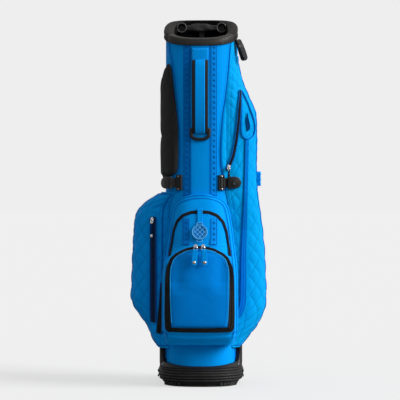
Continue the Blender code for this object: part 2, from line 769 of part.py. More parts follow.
def make_clips():
    """On each side an upright loop bar and a rounded buckle tab held to it by webbing."""
    for name, side in (("left", -1), ("right", 1)):
        rows = []
        for z in levels(CLIP_Z - 0.0185, CLIP_Z + 0.0185, 3):
            rows.append((z, levels(side * CLIP_U, side * (CLIP_U + 0.0182), 4)))
        mesh = patch_mesh("clip_bar", skin, rows, 0.0010, 0.0060)
        add_part(name + "_clip_bar", mesh, "black_plastic")

    hinge = skin(-0.062, CLIP_Z) + normal_of(skin, -0.062, CLIP_Z) * 0.0130
    rows = tab_rows(-0.062, -0.112)
    mesh = patch_mesh("clip_tab", skin, rows, 0.0108, 0.0152)
    tab = add_part("left_clip_tab", mesh, "black_plastic", hinge)
    carry(joint_empty("left_clip_axis", hinge), tab)

    pocket = side_face(1, RIGHT_REACH)
    hinge = pocket(0.0650, CLIP_Z) + normal_of(pocket, 0.0650, CLIP_Z) * 0.0050
    mesh = patch_mesh("clip_tab", pocket, tab_rows(0.0650, 0.0955), 0.0030, 0.0074)
    tab = add_part("right_clip_tab", mesh, "black_plastic", hinge)
    spot = pocket(0.0845, CLIP_Z)
    normal = normal_of(pocket, 0.0845, CLIP_Z)
    profile = [(0.0, 0.0055), (0.0012, 0.0060), (0.0022, 0.0045)]
    mesh = turned_mesh("clip_button", profile, spot + normal * 0.0082, normal, 16)
    button = add_part("right_clip_button", mesh, "black_plastic", hinge)
    carry(joint_empty("right_clip_axis", hinge), tab, button)


def tab_rows(start, end):
    """Rows of a tab with a square end at the start and a rounded far end."""
    rows = []
    for z in levels(CLIP_Z - 0.0145, CLIP_Z + 0.0145, 7):
        trim = (end - start) * 0.30 * (abs(z - CLIP_Z) / 0.0145) ** 3
        rows.append((z, levels(start, end - trim, 7)))
    return rows


def make_strap_loop():
    """A doubled webbing loop that hangs outwards from under the cuff at the +X side."""
    top = Vector((0.0895, -0.042, 0.8245))
    line = Vector((0.0185, 0.0, -0.0540)).normalized()
    out = Vector((-line.z, 0.0, line.x))
    across = [Vector((0.0, y, 0.0)) for y in (-0.011, -0.004, 0.004, 0.011)]
    outer, inner = [], []
    for share in levels(0.0, 1.0, 8):
        thick = 0.0052 + 0.0012 * share - 0.0042 * max(0.0, (share - 0.85) / 0.15) ** 2
        point = top + line * (0.050 * share)
        outer.append([point + out * thick + step for step in across])
        inner.append([point - out * thick * 0.6 + step for step in across])
    hinge = top + Vector((0.0, 0.0, -0.0005))
    loop = add_part("strap_loop", sheet_mesh("strap_loop", outer, inner), "black_webbing", hinge)
    carry(joint_empty("strap_loop_axis", hinge), loop)


def make_towel_tab():
    surface = side_surface(1, RIGHT_REACH)
    base = surface(0.5, 0.494)
    low = (base.x + 0.0031, base.y - 0.008, 0.4735)
    high = (base.x + 0.0061, base.y + 0.008, 0.5145)
    add_part("towel_tab", box_mesh("towel_tab", low, high, 0.001), "blue_fabric")


# ---- stand --------------------------------------------------------------------------------------
def leg_frame(side):
    """A leg's hinge centre and hinge axis."""
    centre = Vector((side * LEG_X, LEG_Y, LEG_HINGE_Z))
    axis = Vector((math.cos(LEG_SPLAY), -side * math.sin(LEG_SPLAY), 0.0))
    return centre, axis


def make_leg_bracket():
    plate = box_mesh("leg_bracket", (-0.068, 0.0958, 0.806), (0.068, 0.1010, 0.8500), 0.001)
    bracket = add_part("leg_bracket", plate, "black_plastic")
    for side in (-1, 1):
        centre, axis = leg_frame(side)
        for cheek in (-1, 1):
            inner, outer = 0.0078 * cheek, 0.0115 * cheek
            low = (centre.x + min(inner, outer), centre.y - 0.0235, centre.z - 0.011)
            high = (centre.x + max(inner, outer), centre.y + 0.0095, centre.z + 0.011)
            mesh = box_mesh("cheek", low, high, 0.0008, -side * LEG_SPLAY, centre.xy)
            boolean(bracket, helper("bracket_cheek", mesh), "UNION")
        hole = turned_mesh("pin_hole", [(0.0, 0.0034), (0.040, 0.0034)], centre - axis * 0.020, axis, 12)
        boolean(bracket, helper("bracket_pin_hole", hole), "DIFFERENCE")
        name = "leg_pin_left" if side < 0 else "leg_pin_right"
        pin = turned_mesh(name, rounded_ends(0.026, 0.0030, 0.0005), centre - axis * 0.013, axis, 12)
        add_part(name, pin, "steel")


def make_leg(name, side):
    centre, axis = leg_frame(side)
    x, y, hinge_z = centre
    turn = -side * LEG_SPLAY
    body = joint_empty("leg_" + name + "_axis", centre)

    head_mesh = box_mesh(
        "leg_head", (x - 0.0072, y - 0.0078, hinge_z - 0.030), (x + 0.0072, y + 0.0078, hinge_z + 0.0082),
        0.0025, turn, (x, y),
    )
    head = add_part("leg_head_" + name, head_mesh, "black_plastic", centre)
    spigot = turned_mesh("spigot", rounded_ends(0.030, 0.0053), (x, y, hinge_z - 0.026), (0, 0, -1), 12)
    boolean(head, helper("head_spigot", spigot), "UNION")
    hole = turned_mesh("head_hole", [(0.0, 0.0034), (0.030, 0.0034)], centre - axis * 0.015, axis, 12)
    boolean(head, helper("head_hole", hole), "DIFFERENCE")

    tube_top = hinge_z - 0.030 - GAP
    tube_length = tube_top - LEG_FOOT_Z - 0.012
    profile = [(0.0, LEG_RADIUS), (tube_length, LEG_RADIUS), (tube_length, 0.0058), (0.0, 0.0058)]
    tube_mesh = ring_mesh("leg_tube", (x, y, tube_top), (0, 0, -1), profile, 16)
    tube = add_part("leg_tube_" + name, tube_mesh, "aluminium", centre)

    foot_profile = [(0.0, 0.0100), (0.012, 0.0105), (0.034, 0.0120), (0.040, 0.0095)]
    start = Vector((x, y, LEG_FOOT_Z + 0.040))
    socket = [(0.0285, LEG_RADIUS + GAP), (0.0, LEG_RADIUS + GAP)]
    foot_mesh = turned_mesh("leg_foot", socket + foot_profile, start, (0, 0, -1), 16)
    foot = add_part("leg_foot_" + name, foot_mesh, "rubber", centre)

    clamp_z = hinge_z - CLAMP_DROP
    profile = [(-0.009, LEG_RADIUS + GAP), (-0.009, 0.0102), (0.009, 0.0102), (0.009, LEG_RADIUS + GAP)]
    clamp_mesh = ring_mesh("leg_clamp", (x, y, clamp_z), (0, 0, 1), profile, 16)
    clamp = add_part("leg_clamp_" + name, clamp_mesh, "black_plastic", centre)
    rod_top = Vector((side * ROD_X, ROD_Y, clamp_z))
    reach = rod_top - Vector((x, y, clamp_z))
    along = reach.normalized()
    arm_start = Vector((x, y, clamp_z)) + along * 0.0088
    arm_profile = rounded_ends(reach.length - 0.0138, 0.0038, 0.0006)
    arm = turned_mesh("clamp_arm", arm_profile, arm_start, along, 12)
    boolean(clamp, helper("clamp_arm", arm), "UNION")
    carry(body, head, tube, foot, clamp)


def make_push_rod(name, side):
    """A steel rod from the actuator up to the leg's clamp, with a rounded eye at each end."""
    pivot = Vector((side * ROD_X, ROD_Y, ROD_FOOT_Z))
    length = LEG_HINGE_Z - CLAMP_DROP - ROD_FOOT_Z
    profile = [
        (-0.0040, 0.0015), (-0.0028, 0.0032), (0.0, 0.0042), (0.0030, 0.0032), (0.0045, 0.0025),
        (length - 0.0045, 0.0025), (length - 0.0030, 0.0032), (length, 0.0040), (length + 0.0028, 0.0032),
        (length + 0.0040, 0.0015),
    ]
    mesh = turned_mesh("push_rod", profile, pivot, (0, 0, 1), 12)
    rod = add_part("push_rod_" + name, mesh, "steel", pivot)
    carry(joint_empty("push_rod_" + name + "_axis", pivot), rod)


def make_actuator():
    """The sliding block in the boot's rear notch, and the treadle whose tongue lifts it."""
    origin = Vector((0.0, 0.1135, 0.024))
    mesh = box_mesh("actuator_block", (-0.0385, 0.1008, 0.0086), (0.0385, 0.1280, 0.0420), 0.0015)
    block = add_part("actuator_block", mesh, "black_plastic", origin)
    carry(joint_empty("actuator_axis", origin), block)

    hinge = Vector((0.0, TREADLE_Y, TREADLE_Z))
    plate = box_mesh("treadle", (-0.0335, 0.018, 0.0008), (0.0335, TREADLE_Y, 0.0032), 0.0005)
    treadle = add_part("treadle", plate, "black_plastic", hinge)
    barrel_end = hinge - Vector((0.0335, 0.0, 0.0))
    barrel = turned_mesh("barrel", [(0.0, 0.0031), (0.067, 0.0031)], barrel_end, (1, 0, 0), 16)
    tongue = box_mesh("tongue", (-0.020, TREADLE_Y, 0.0030), (0.020, 0.1290, 0.0064), 0.0008)
    bore = turned_mesh("bore", [(0.0, 0.0018), (0.10, 0.0018)], hinge - Vector((0.05, 0, 0)), (1, 0, 0), 12)
    boolean(treadle, helper("treadle_barrel", barrel), "UNION")
    boolean(treadle, helper("treadle_tongue", tongue), "UNION")
    boolean(treadle, helper("treadle_bore", bore), "DIFFERENCE")
    carry(joint_empty("treadle_axis", hinge), treadle)
    pin = turned_mesh(
        "treadle_pin", rounded_ends(0.079, 0.0014, 0.0003), hinge - Vector((0.0395, 0, 0)), (1, 0, 0), 12
    )
    add_part("treadle_pin", pin, "steel")


def main():
    clear_scene()
    make_body_shell()
    make_cuff()
    make_dividers()
    make_stays()
    make_boot()
    make_outsole()
    make_top_grip()
    make_handle()
    make_front_pocket()
    make_front_panels()
    make_ball_sliders()
    make_badge()
    make_side_pocket("left_pocket", -1, LEFT_REACH, 20)
    make_side_pocket("right_pocket", 1, RIGHT_REACH, 28)
    make_side_zips()
    make_side_sliders()
    make_shoulder_pad()
    make_clips()
    make_strap_loop()
    make_towel_tab()
    make_leg_bracket()
    make_leg("left", -1)
    make_leg("right", 1)
    make_push_rod("left", -1)
    make_push_rod("right", 1)
    make_actuator()
    bpy.context.view_layer.update()


main()
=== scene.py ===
"""A golf stand bag in sewn blue fabric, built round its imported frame: quilted side pockets, zipped front
pockets, carry straps, a moulded cuff and base, and the folding legs behind.

Metres, +Z up. The front of the bag faces -Y, and the origin is the centre of the flat sole.
"""

import math

import bmesh
import bpy
import numpy as np
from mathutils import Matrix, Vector


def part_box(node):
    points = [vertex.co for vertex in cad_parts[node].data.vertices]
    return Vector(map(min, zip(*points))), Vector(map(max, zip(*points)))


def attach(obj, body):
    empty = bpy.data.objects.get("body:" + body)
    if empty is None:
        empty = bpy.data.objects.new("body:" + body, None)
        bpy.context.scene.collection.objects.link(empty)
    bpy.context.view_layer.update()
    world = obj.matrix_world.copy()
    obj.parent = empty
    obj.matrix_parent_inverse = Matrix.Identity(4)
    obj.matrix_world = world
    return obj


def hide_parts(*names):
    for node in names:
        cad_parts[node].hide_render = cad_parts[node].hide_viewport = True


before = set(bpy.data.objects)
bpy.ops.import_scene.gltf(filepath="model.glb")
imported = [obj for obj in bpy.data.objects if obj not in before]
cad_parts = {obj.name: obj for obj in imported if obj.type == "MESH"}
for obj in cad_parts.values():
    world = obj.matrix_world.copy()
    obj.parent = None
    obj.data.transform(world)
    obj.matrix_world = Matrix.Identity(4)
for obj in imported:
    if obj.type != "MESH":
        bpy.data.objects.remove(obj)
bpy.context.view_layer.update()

# ---- dimensions shared with the frame -----------------------------------------------------------
OVAL_POWER = 2.6
HALF_WIDTH = 0.085            # of the fabric tube
DEPTH_EXTRA = 0.010
RISE = math.tan(math.radians(17.2))     # slant of the cuff
CUFF_LOW = 0.838
BOOT_FLOOR = 0.0088
NOTCH_HALF_WIDTH = 0.040
NOTCH_FRONT = 0.0995
GRIP_Z = 0.8665
BOSS_X = 0.049
HANDLE_LOW, HANDLE_HIGH = 0.6025, 0.7715
CLIP_Z = 0.4835
SIDE_REAR = math.radians(134.0)

# Pocket and panel tables list (height, half width) or (height, reach out from the tube).
FRONT_WIDTH = [
    (0.102, 0.0800), (0.115, 0.0850), (0.130, 0.0895), (0.150, 0.0905), (0.260, 0.0900), (0.300, 0.0868),
    (0.345, 0.0808), (0.380, 0.0768), (0.412, 0.0712), (0.428, 0.0665), (0.438, 0.0605), (0.446, 0.0500),
    (0.452, 0.0345), (0.456, 0.0150),
]
FRONT_REACH = [
    (0.102, 0.034), (0.122, 0.050), (0.150, 0.060), (0.240, 0.064), (0.310, 0.058),
    (0.350, 0.040), (0.400, 0.026), (0.434, 0.016), (0.456, 0.008),
]
BALL_PANEL = [
    (0.1455, 0.0640), (0.156, 0.0648), (0.175, 0.0658), (0.220, 0.0675), (0.262, 0.0688), (0.285, 0.0672),
    (0.302, 0.0605), (0.310, 0.0520), (0.321, 0.0320), (0.3255, 0.0140),
]
ARCH_PANEL = [(0.348, 0.0590), (0.368, 0.0560), (0.388, 0.0490), (0.401, 0.0370), (0.4075, 0.0200)]
LEFT_REACH = [
    (0.088, 0.017), (0.112, 0.029), (0.140, 0.040), (0.163, 0.058), (0.185, 0.073), (0.207, 0.0805),
    (0.300, 0.0785), (0.378, 0.0755), (0.404, 0.072), (0.424, 0.061), (0.444, 0.037), (0.462, 0.006),
]
RIGHT_REACH = [
    (0.090, 0.010), (0.112, 0.025), (0.140, 0.047), (0.165, 0.061), (0.185, 0.068), (0.225, 0.071),
    (0.305, 0.068), (0.380, 0.0600), (0.465, 0.0510), (0.530, 0.0480), (0.625, 0.0495), (0.655, 0.047),
    (0.685, 0.033), (0.721, 0.0160), (0.760, 0.0040), (0.790, 0.0003), (0.815, -0.0012), (0.834, -0.0015),
]
# Lines on the bag list (x, z), seen from the front.
LEFT_ZIP_X = -0.1130
RIGHT_ZIP = [
    (0.0640, 0.5130), (0.0668, 0.5190), (0.0775, 0.5450), (0.0850, 0.5830), (0.0905, 0.6300),
    (0.0940, 0.6800), (0.0950, 0.7040),
]
LEFT_SEAM = [
    (-0.0755, 0.8170), (-0.0668, 0.7735), (-0.0598, 0.7330), (-0.0566, 0.6930), (-0.0520, 0.6495),
    (-0.0489, 0.6066), (-0.0472, 0.5640), (-0.0484, 0.5200), (-0.0525, 0.4680), (-0.0535, 0.4600),
]
RIGHT_SEAM = [
    (0.0712, 0.8130), (0.0700, 0.7960), (0.0656, 0.7390), (0.0599, 0.6870), (0.0542, 0.6495),
    (0.0504, 0.6066), (0.0482, 0.5640), (0.0494, 0.5250), (0.0540, 0.4995), (0.0615, 0.4650),
]
TEARDROP = [
    (0.0965, 0.7060), (0.1070, 0.6860), (0.1180, 0.6600), (0.1265, 0.6360), (0.1300, 0.6150),
    (0.1265, 0.5960), (0.1110, 0.5860), (0.0990, 0.5930), (0.0965, 0.6140), (0.0975, 0.6500),
    (0.0965, 0.6850),
]
BAND = [
    (0.1100, 0.5860), (0.1090, 0.5200), (0.1070, 0.4366), (0.1030, 0.3190), (0.1015, 0.2015),
    (0.0985, 0.1840), (0.0890, 0.1660),
]
# The shoulder pad's edges list (height, x) in front and (height, distance round the tube) behind.
PAD_FRONT = [
    (0.4700, 0.0700), (0.4990, 0.0680), (0.5030, 0.0560), (0.520, 0.0515), (0.550, 0.0500), (0.6066, 0.0502),
    (0.6350, 0.0518), (0.6640, 0.0552), (0.6985, 0.0595), (0.7330, 0.0632), (0.7680, 0.0675),
]
PAD_REAR = [(0.690, 0.1460), (0.712, 0.1440), (0.736, 0.1200), (0.752, 0.1000), (0.768, 0.0820)]
FOLD_Z = 0.5965

# ---- dimensions of the sewn and moulded detail --------------------------------------------------
WEAVE = 0.0011
STITCH, STITCH_GAP, THREAD = 0.0030, 0.0014, 0.00038
PIPING = 0.0011
QUILT_WIDTH, QUILT_HEIGHT = 0.034, 0.044
QUILT_PUFF = 0.0021
RIBBON_INNER, RIBBON_OUTER = 0.0236, 0.0402
RIBBON_HALF = (RIBBON_OUTER - RIBBON_INNER) / 2
PANEL_HALF = 0.0222
MOUTH_HALF_WIDTH, MOUTH_HALF_DEPTH = 0.0640, 0.0890
RIM_RISE = 0.0213             # of the cuff's rolled rim above CUFF_LOW
RIGHT, UP = np.array([1.0, 0.0, 0.0]), np.array([0.0, 0.0, 1.0])
AHEAD = np.array([0.0, -1.0, 0.0])

# ---- light and camera ---------------------------------------------------------------------------
CAMERA_DISTANCE, CAMERA_HEIGHT, CAMERA_TURN = 4.0, 0.4424, 1.3
LENS, CAMERA_SHIFT = 148.45, -0.0025
FLOOR_COLOUR = (0.22, 0.22, 0.22)
FLOOR_GLOW = (0.605, 0.605, 0.605)
BACKDROP_COLOUR = (0.855, 0.855, 0.855)
WORLD_TINT, WORLD_STRENGTH = (1.0, 1.0, 1.0), 0.54
KEY_AZIMUTH, KEY_ELEVATION, KEY_STRENGTH, KEY_SPREAD = 73.0, 28.0, 4.3, 34.0


# ---- looks --------------------------------------------------------------------------------------
class Look:
    """A Principled material whose colour, roughness and relief come from layered patterns."""

    def __init__(self, name, colour, roughness, metallic=0.0, **constants):
        self.material = bpy.data.materials.new(name)
        self.material.use_nodes = True
        self.nodes = self.material.node_tree.nodes
        self.links = self.material.node_tree.links
        self.shader = self.nodes["Principled BSDF"]
        self.colour = colour
        self.shader.inputs["Base Color"].default_value = (*colour, 1.0)
        self.shader.inputs["Roughness"].default_value = roughness
        self.shader.inputs["Metallic"].default_value = metallic
        for socket, value in constants.items():
            self.shader.inputs[socket.replace("_", " ").title().replace("Ior", "IOR")].default_value = value
        self.object = self.nodes.new("ShaderNodeTexCoord").outputs["Object"]
        uv = self.nodes.new("ShaderNodeUVMap")
        uv.uv_map = "metres"
        self.flat = uv.outputs["UV"]

    def put(self, socket, value):
        """Sets an input from a number or from another node's output."""
        if isinstance(value, bpy.types.NodeSocket):
            self.links.new(value, socket)
        else:
            socket.default_value = value

    def math(self, operation, a, b=0.0):
        """One sum on numbers or node outputs."""
        node = self.nodes.new("ShaderNodeMath")
        node.operation = operation
        self.put(node.inputs[0], a)
        self.put(node.inputs[1], b)
        return node.outputs[0]

    def axes(self, vector):
        """The three parts of a vector."""
        node = self.nodes.new("ShaderNodeSeparateXYZ")
        self.links.new(vector, node.inputs[0])
        return node.outputs[0], node.outputs[1], node.outputs[2]

    def noise(self, size, detail=2.0, vector=None):
        """Soft random relief, 0 to 1, whose lumps are about `size` across."""
        node = self.nodes.new("ShaderNodeTexNoise")
        node.inputs["Scale"].default_value = 1.0 / size
        node.inputs["Detail"].default_value = detail
        self.links.new(vector or self.object, node.inputs["Vector"])
        return node.outputs["Fac"]

    def cells(self, size):
        """Distance from the middle of the nearest of many small cells, such as leather grain."""
        node = self.nodes.new("ShaderNodeTexVoronoi")
        node.inputs["Scale"].default_value = 1.0 / size
        self.links.new(self.object, node.inputs["Vector"])
        return node.outputs["Distance"]

    def wave(self, along, period):
        """A sine wave, -1 to 1, that repeats every `period` metres."""
        return self.math("SINE", self.math("MULTIPLY", along, 2 * math.pi / period))

    def remap(self, value, low, high, start=0.0, end=1.0):
        node = self.nodes.new("ShaderNodeMapRange")
        node.inputs["From Min"].default_value = low
        node.inputs["From Max"].default_value = high
        node.inputs["To Min"].default_value = start
        node.inputs["To Max"].default_value = end
        self.links.new(value, node.inputs["Value"])
        return node.outputs["Result"]

    def tint(self, factor, low, high):
        """Colours the surface between two shares of its own colour, or two colours, by a factor."""
        mix = self.nodes.new("ShaderNodeMix")
        mix.data_type = "RGBA"
        for socket, share in ((mix.inputs["A"], low), (mix.inputs["B"], high)):
            colour = share if isinstance(share, tuple) else tuple(min(1.0, c * share) for c in self.colour)
            socket.default_value = (*colour, 1.0)
        self.links.new(factor, mix.inputs["Factor"])
        before = self.shader.inputs["Base Color"].links
        if before:
            blend = self.nodes.new("ShaderNodeMix")
            blend.data_type = "RGBA"
            blend.blend_type = "MULTIPLY"
            blend.inputs["Factor"].default_value = 1.0
            self.links.new(before[0].from_socket, blend.inputs["A"])
            self.links.new(mix.outputs["Result"], blend.inputs["B"])
            self.links.new(blend.outputs["Result"], self.shader.inputs["Base Color"])
        else:
            self.links.new(mix.outputs["Result"], self.shader.inputs["Base Color"])
        return self

    def shade_reflection(self, colour):
        """Dyed fibres colour what they reflect, so cloth shows no white haze."""
        peak = max(colour)
        tint = [max(0.02, c / peak) for c in colour] if peak > 0.05 else [1.0, 1.0, 1.0]
        self.shader.inputs["Specular Tint"].default_value = (*tint, 1.0)
        self.shader.inputs["Sheen Tint"].default_value = (*tint, 1.0)

    def gloss(self, factor, low, high):
        """Varies the roughness between two values."""
        self.links.new(self.remap(factor, 0.0, 1.0, low, high), self.shader.inputs["Roughness"])
        return self

    def relief(self, height, depth):
        """Adds a bump of the given depth in metres to what is there."""
        node = self.nodes.new("ShaderNodeBump")
        node.inputs["Distance"].default_value = depth
        self.links.new(height, node.inputs["Height"])
        before = self.shader.inputs["Normal"].links
        if before:
            self.links.new(before[0].from_socket, node.inputs["Normal"])
        self.links.new(node.outputs["Normal"], self.shader.inputs["Normal"])
        return self


def cloth(name, colour, roughness=0.55, thread=WEAVE, depth=0.00008, flat=True, sheen=0.0):
    """A plain weave with faint unevenness in its dye and hand."""
    look = Look(name, colour, roughness, sheen_weight=sheen, sheen_roughness=0.45, specular_ior_level=0.03)
    look.shade_reflection(colour)
    across, up, deep = look.axes(look.flat if flat else look.object)
    if not flat:
        across, up = look.math("ADD", across, deep), look.math("SUBTRACT", up, deep)
    weave = look.math("MULTIPLY", look.wave(across, thread), look.wave(up, thread))
    look.tint(look.noise(0.055, 3.0), 0.93, 1.05)
    look.tint(look.remap(weave, -1.0, 1.0), (0.93, 0.93, 0.93), (1.0, 1.0, 1.0))
    look.gloss(look.noise(0.012, 3.0), roughness - 0.06, roughness + 0.08)
    look.relief(look.remap(weave, -1.0, 1.0), depth)
    look.relief(look.noise(0.018, 2.0), 0.0007)
    return look.material


def moulded(name, colour, roughness, grain=0.0009, depth=0.00010, worn=(0.05, 0.05, 0.05), level=0.28):
    """Moulded plastic or rubber with a fine grain and edges rubbed a little paler."""
    look = Look(name, colour, roughness, specular_ior_level=level)
    edge = look.nodes.new("ShaderNodeNewGeometry").outputs["Pointiness"]
    edges = look.remap(edge, 0.515, 0.60)
    patchy = look.remap(look.noise(0.02, 4.0), 0.35, 0.7)
    look.tint(look.math("MULTIPLY", edges, patchy), 1.0, worn)
    look.gloss(look.noise(0.015, 4.0), roughness - 0.08, roughness + 0.10)
    look.relief(look.cells(grain), depth)
    return look.material


def leather(name, colour, roughness, grain=0.0016, level=0.35):
    """Pebbled leather, darker and glossier in patches."""
    look = Look(name, colour, roughness, specular_ior_level=level)
    look.tint(look.noise(0.03, 4.0), 0.75, 1.35)
    look.gloss(look.noise(0.02, 3.0), roughness - 0.07, roughness + 0.10)
    look.relief(look.cells(grain), 0.00022)
    look.relief(look.noise(0.006, 3.0), 0.0004)
    return look.material


def spacer_mesh(name, colour):
    """Knitted mesh with rows of small open holes."""
    look = Look(name, colour, 0.85, sheen_weight=0.03, sheen_roughness=0.6, specular_ior_level=0.2)
    x, y, z = look.axes(look.object)
    holes = look.math("MULTIPLY", look.wave(look.math("ADD", x, y), 0.0030), look.wave(z, 0.0030))
    look.tint(look.remap(holes, 0.0, 0.8), 1.35, 0.45)
    look.relief(look.remap(holes, 0.8, -0.2), 0.0006)
    look.relief(look.noise(0.012, 3.0), 0.0008)
    return look.material


def webbing(name, colour, rib=0.0022):
    """Ribbed tape whose ribs run across its length."""
    look = Look(name, colour, 0.72, sheen_weight=0.03, sheen_roughness=0.5, specular_ior_level=0.22)
    across, along, _ = look.axes(look.flat)
    ribs = look.wave(along, rib)
    cross = look.math("MULTIPLY", ribs, look.wave(across, rib * 1.5))
    look.tint(look.remap(cross, -1.0, 1.0), 0.7, 1.35)
    look.gloss(look.noise(0.01, 2.0), 0.62, 0.82)
    look.relief(look.remap(ribs, -1.0, 1.0), 0.0003)
    return look.material


def metal(name, colour, roughness, brushed=0.0):
    """Metal with faint wear, and drawn rings every `brushed` metres if given."""
    look = Look(name, colour, roughness, metallic=1.0)
    look.tint(look.noise(0.004, 3.0), 0.88, 1.05)
    look.gloss(look.noise(0.0015, 4.0), max(0.05, roughness - 0.08), roughness + 0.12)
    if brushed:
        _, _, high = look.axes(look.object)
        look.relief(look.wave(high, brushed), 0.00002)
    look.relief(look.noise(0.0008, 2.0), 0.00002)
    return look.material


def debossed_ribbon(name, colour, pressed_share=0.72):
    """Coated tape pressed with a running row of small lozenges between two fine lines."""
    look = Look(name, colour, 0.42, specular_ior_level=0.12)
    look.shade_reflection(colour)
    across, along, _ = look.axes(look.flat)
    slant = look.math("ABSOLUTE", across)
    swing = look.math("ABSOLUTE", look.math("PINGPONG", look.math("ADD", along, 10.0), 0.0065))
    lozenge = look.math("ADD", look.math("DIVIDE", slant, 0.0040), look.math("DIVIDE", swing, 0.0044))
    pressed = look.remap(lozenge, 0.85, 1.05, 1.0, 0.0)
    line = look.remap(look.math("ABSOLUTE", look.math("SUBTRACT", slant, 0.0062)), 0.0004, 0.0007, 1.0, 0.0)
    mark = look.math("MAXIMUM", pressed, line)
    look.tint(mark, 1.0, pressed_share)
    look.tint(look.noise(0.02, 3.0), (0.93, 0.93, 0.93), (1.0, 1.0, 1.0))
    look.gloss(look.noise(0.01, 3.0), 0.36, 0.52)
    look.relief(look.remap(mark, 0.0, 1.0, 1.0, 0.0), 0.0007)
    return look.material


def quilted(name, colour):
    """Soft weave sewn into diamonds, a line of short stitches along each seam."""
    look = Look(name, colour, 0.55, specular_ior_level=0.03)
    look.shade_reflection(colour)
    across, up, _ = look.axes(look.flat)
    seams = []
    for sign in (1.0, -1.0):
        over = look.math("DIVIDE", across, QUILT_WIDTH)
        climb = look.math("DIVIDE", up, sign * QUILT_HEIGHT)
        cycle = look.math("FRACT", look.math("ADD", look.math("ADD", over, climb), 100.5))
        gap = look.math("ABSOLUTE", look.math("SUBTRACT", cycle, 0.5))
        seams.append(look.remap(gap, 0.012, 0.022, 1.0, 0.0))
    seam = look.math("MAXIMUM", seams[0], seams[1])
    dash = look.remap(look.wave(up, 0.0044), -0.5, 0.1)
    look.tint(look.math("MULTIPLY", seam, dash), (1.0, 1.0, 1.0), (0.55, 0.62, 0.70))
    weave = look.math("MULTIPLY", look.wave(across, WEAVE), look.wave(up, WEAVE))
    look.tint(look.noise(0.055, 3.0), 0.93, 1.05)
    look.gloss(look.noise(0.012, 3.0), 0.49, 0.63)
    look.relief(look.remap(weave, -1.0, 1.0), 0.00008)
    look.relief(look.math("SUBTRACT", 1.0, seam), 0.0006)
    look.relief(look.noise(0.018, 2.0), 0.0008)
    return look.material


BLUE = (0.0010, 0.280, 0.790)
looks = {
    "blue": cloth("blue_coated_weave", BLUE),
    "quilted": quilted("blue_quilted_diamonds", BLUE),
    # Painted light: a more cyan, less blue copy of the quilted look for the brightly lit right side; the
    # fabric is the same as the left pocket's.
    "quilted_painted_lit": quilted("blue_quilted_painted_lit", (0.0010, 0.300, 0.700)),
    # Dark blue cord for piped edges; beside the centre panel it also serves as a painted fold shadow.
    "cord": cloth("dark_blue_cord_and_painted_fold_shadow", (0.0010, 0.135, 0.50), 0.5, 0.0008),
    # Painted shade: the ball pocket's blue is the body blue darkened for the weaker light low on the front.
    "ball_blue_painted_shade": cloth("ball_pocket_weave_painted_shade", (0.0010, 0.205, 0.660)),
    "band_blue": cloth("blue_placket", (0.0010, 0.190, 0.640)),
    "blue_trim": cloth("blue_trim", (0.0010, 0.170, 0.60), 0.5, 0.0008),
    "thread": cloth("blue_thread", (0.0010, 0.150, 0.53), 0.6, 0.0005),
    # The two ribbons are one tape: the left look is a darker copy with painted shade, the right a lighter
    # copy painted as lit.
    "ribbon": debossed_ribbon("ribbon_blue_painted_shade", (0.0010, 0.150, 0.54)),
    "ribbon_painted_lit": debossed_ribbon("ribbon_blue_painted_lit", (0.0010, 0.215, 0.70), 0.50),
    "badge": leather("blue_badge_leather", (0.0010, 0.105, 0.40), 0.50, 0.0011, 0.12),
    "badge_line": cloth("pale_blue_line", (0.085, 0.42, 0.80), 0.5, 0.0006),
    "piping_light": cloth("light_blue_piping", (0.020, 0.36, 0.82), 0.5, 0.0006),
    "navy_tape": webbing("navy_zip_tape", (0.0010, 0.022, 0.085), 0.0010),
    "navy_teeth": moulded("navy_zip_coil", (0.0010, 0.010, 0.035), 0.4, 0.0006, 0.00004,
                          (0.004, 0.02, 0.06), 0.15),
    # Dark navy for the left zip pull's long strip, and for the wedge under the right pocket's flap, where it
    # is a painted shadow.
    "inside": cloth("dark_navy_strip_and_painted_shadow", (0.0010, 0.030, 0.13), 0.7),
    "lining": cloth("black_lining", (0.0035, 0.0037, 0.0042), 0.9, 0.0012),
    "mesh": spacer_mesh("black_spacer_mesh", (0.0112, 0.0116, 0.0122)),
    "webbing": webbing("black_webbing_tape", (0.0120, 0.0120, 0.0130)),
    "binding": webbing("black_binding", (0.0100, 0.0100, 0.0110), 0.0012),
    "grey_thread": cloth("charcoal_thread", (0.035, 0.035, 0.037), 0.6, 0.0005),
    "snap": moulded("black_snap_cap", (0.020, 0.020, 0.021), 0.28),
    # Grey for the boss rings: a painted highlight on their raised black rims.
    "boss_rim_painted_highlight": moulded("grey_rim_painted_highlight", (0.085, 0.085, 0.088), 0.36),
    "grip_leather": leather("black_gathered_leather", (0.0085, 0.0085, 0.0095), 0.38, 0.0013, 0.45),
    "plastic": moulded("black_moulded_plastic", (0.0075, 0.0075, 0.0080), 0.42),
    "leather": leather("cuff_grained_leather", (0.0135, 0.0118, 0.0104), 0.58, 0.0016, 0.12),
    "lip": leather("cuff_satin_lip", (0.0200, 0.0178, 0.0160), 0.42, 0.0020, 0.32),
    "rubber": moulded("black_moulded_rubber", (0.0080, 0.0078, 0.0080), 0.50, 0.0012, 0.00014,
                      (0.06, 0.058, 0.056), 0.30),
    "tape": webbing("black_zip_tape", (0.0055, 0.0060, 0.0075), 0.0010),
    "teeth": moulded("black_zip_coil", (0.0055, 0.0060, 0.0075), 0.40, 0.0006, 0.00004,
                     (0.02, 0.02, 0.022), 0.15),
    "chrome": metal("polished_nickel", (0.80, 0.79, 0.77), 0.16),
    "brass": metal("warm_rivet_metal", (0.55, 0.50, 0.42), 0.28),
    "aluminium": metal("satin_aluminium", (0.60, 0.61, 0.63), 0.30, 0.0009),
    "steel": metal("drawn_steel", (0.46, 0.47, 0.49), 0.30, 0.0006),
}


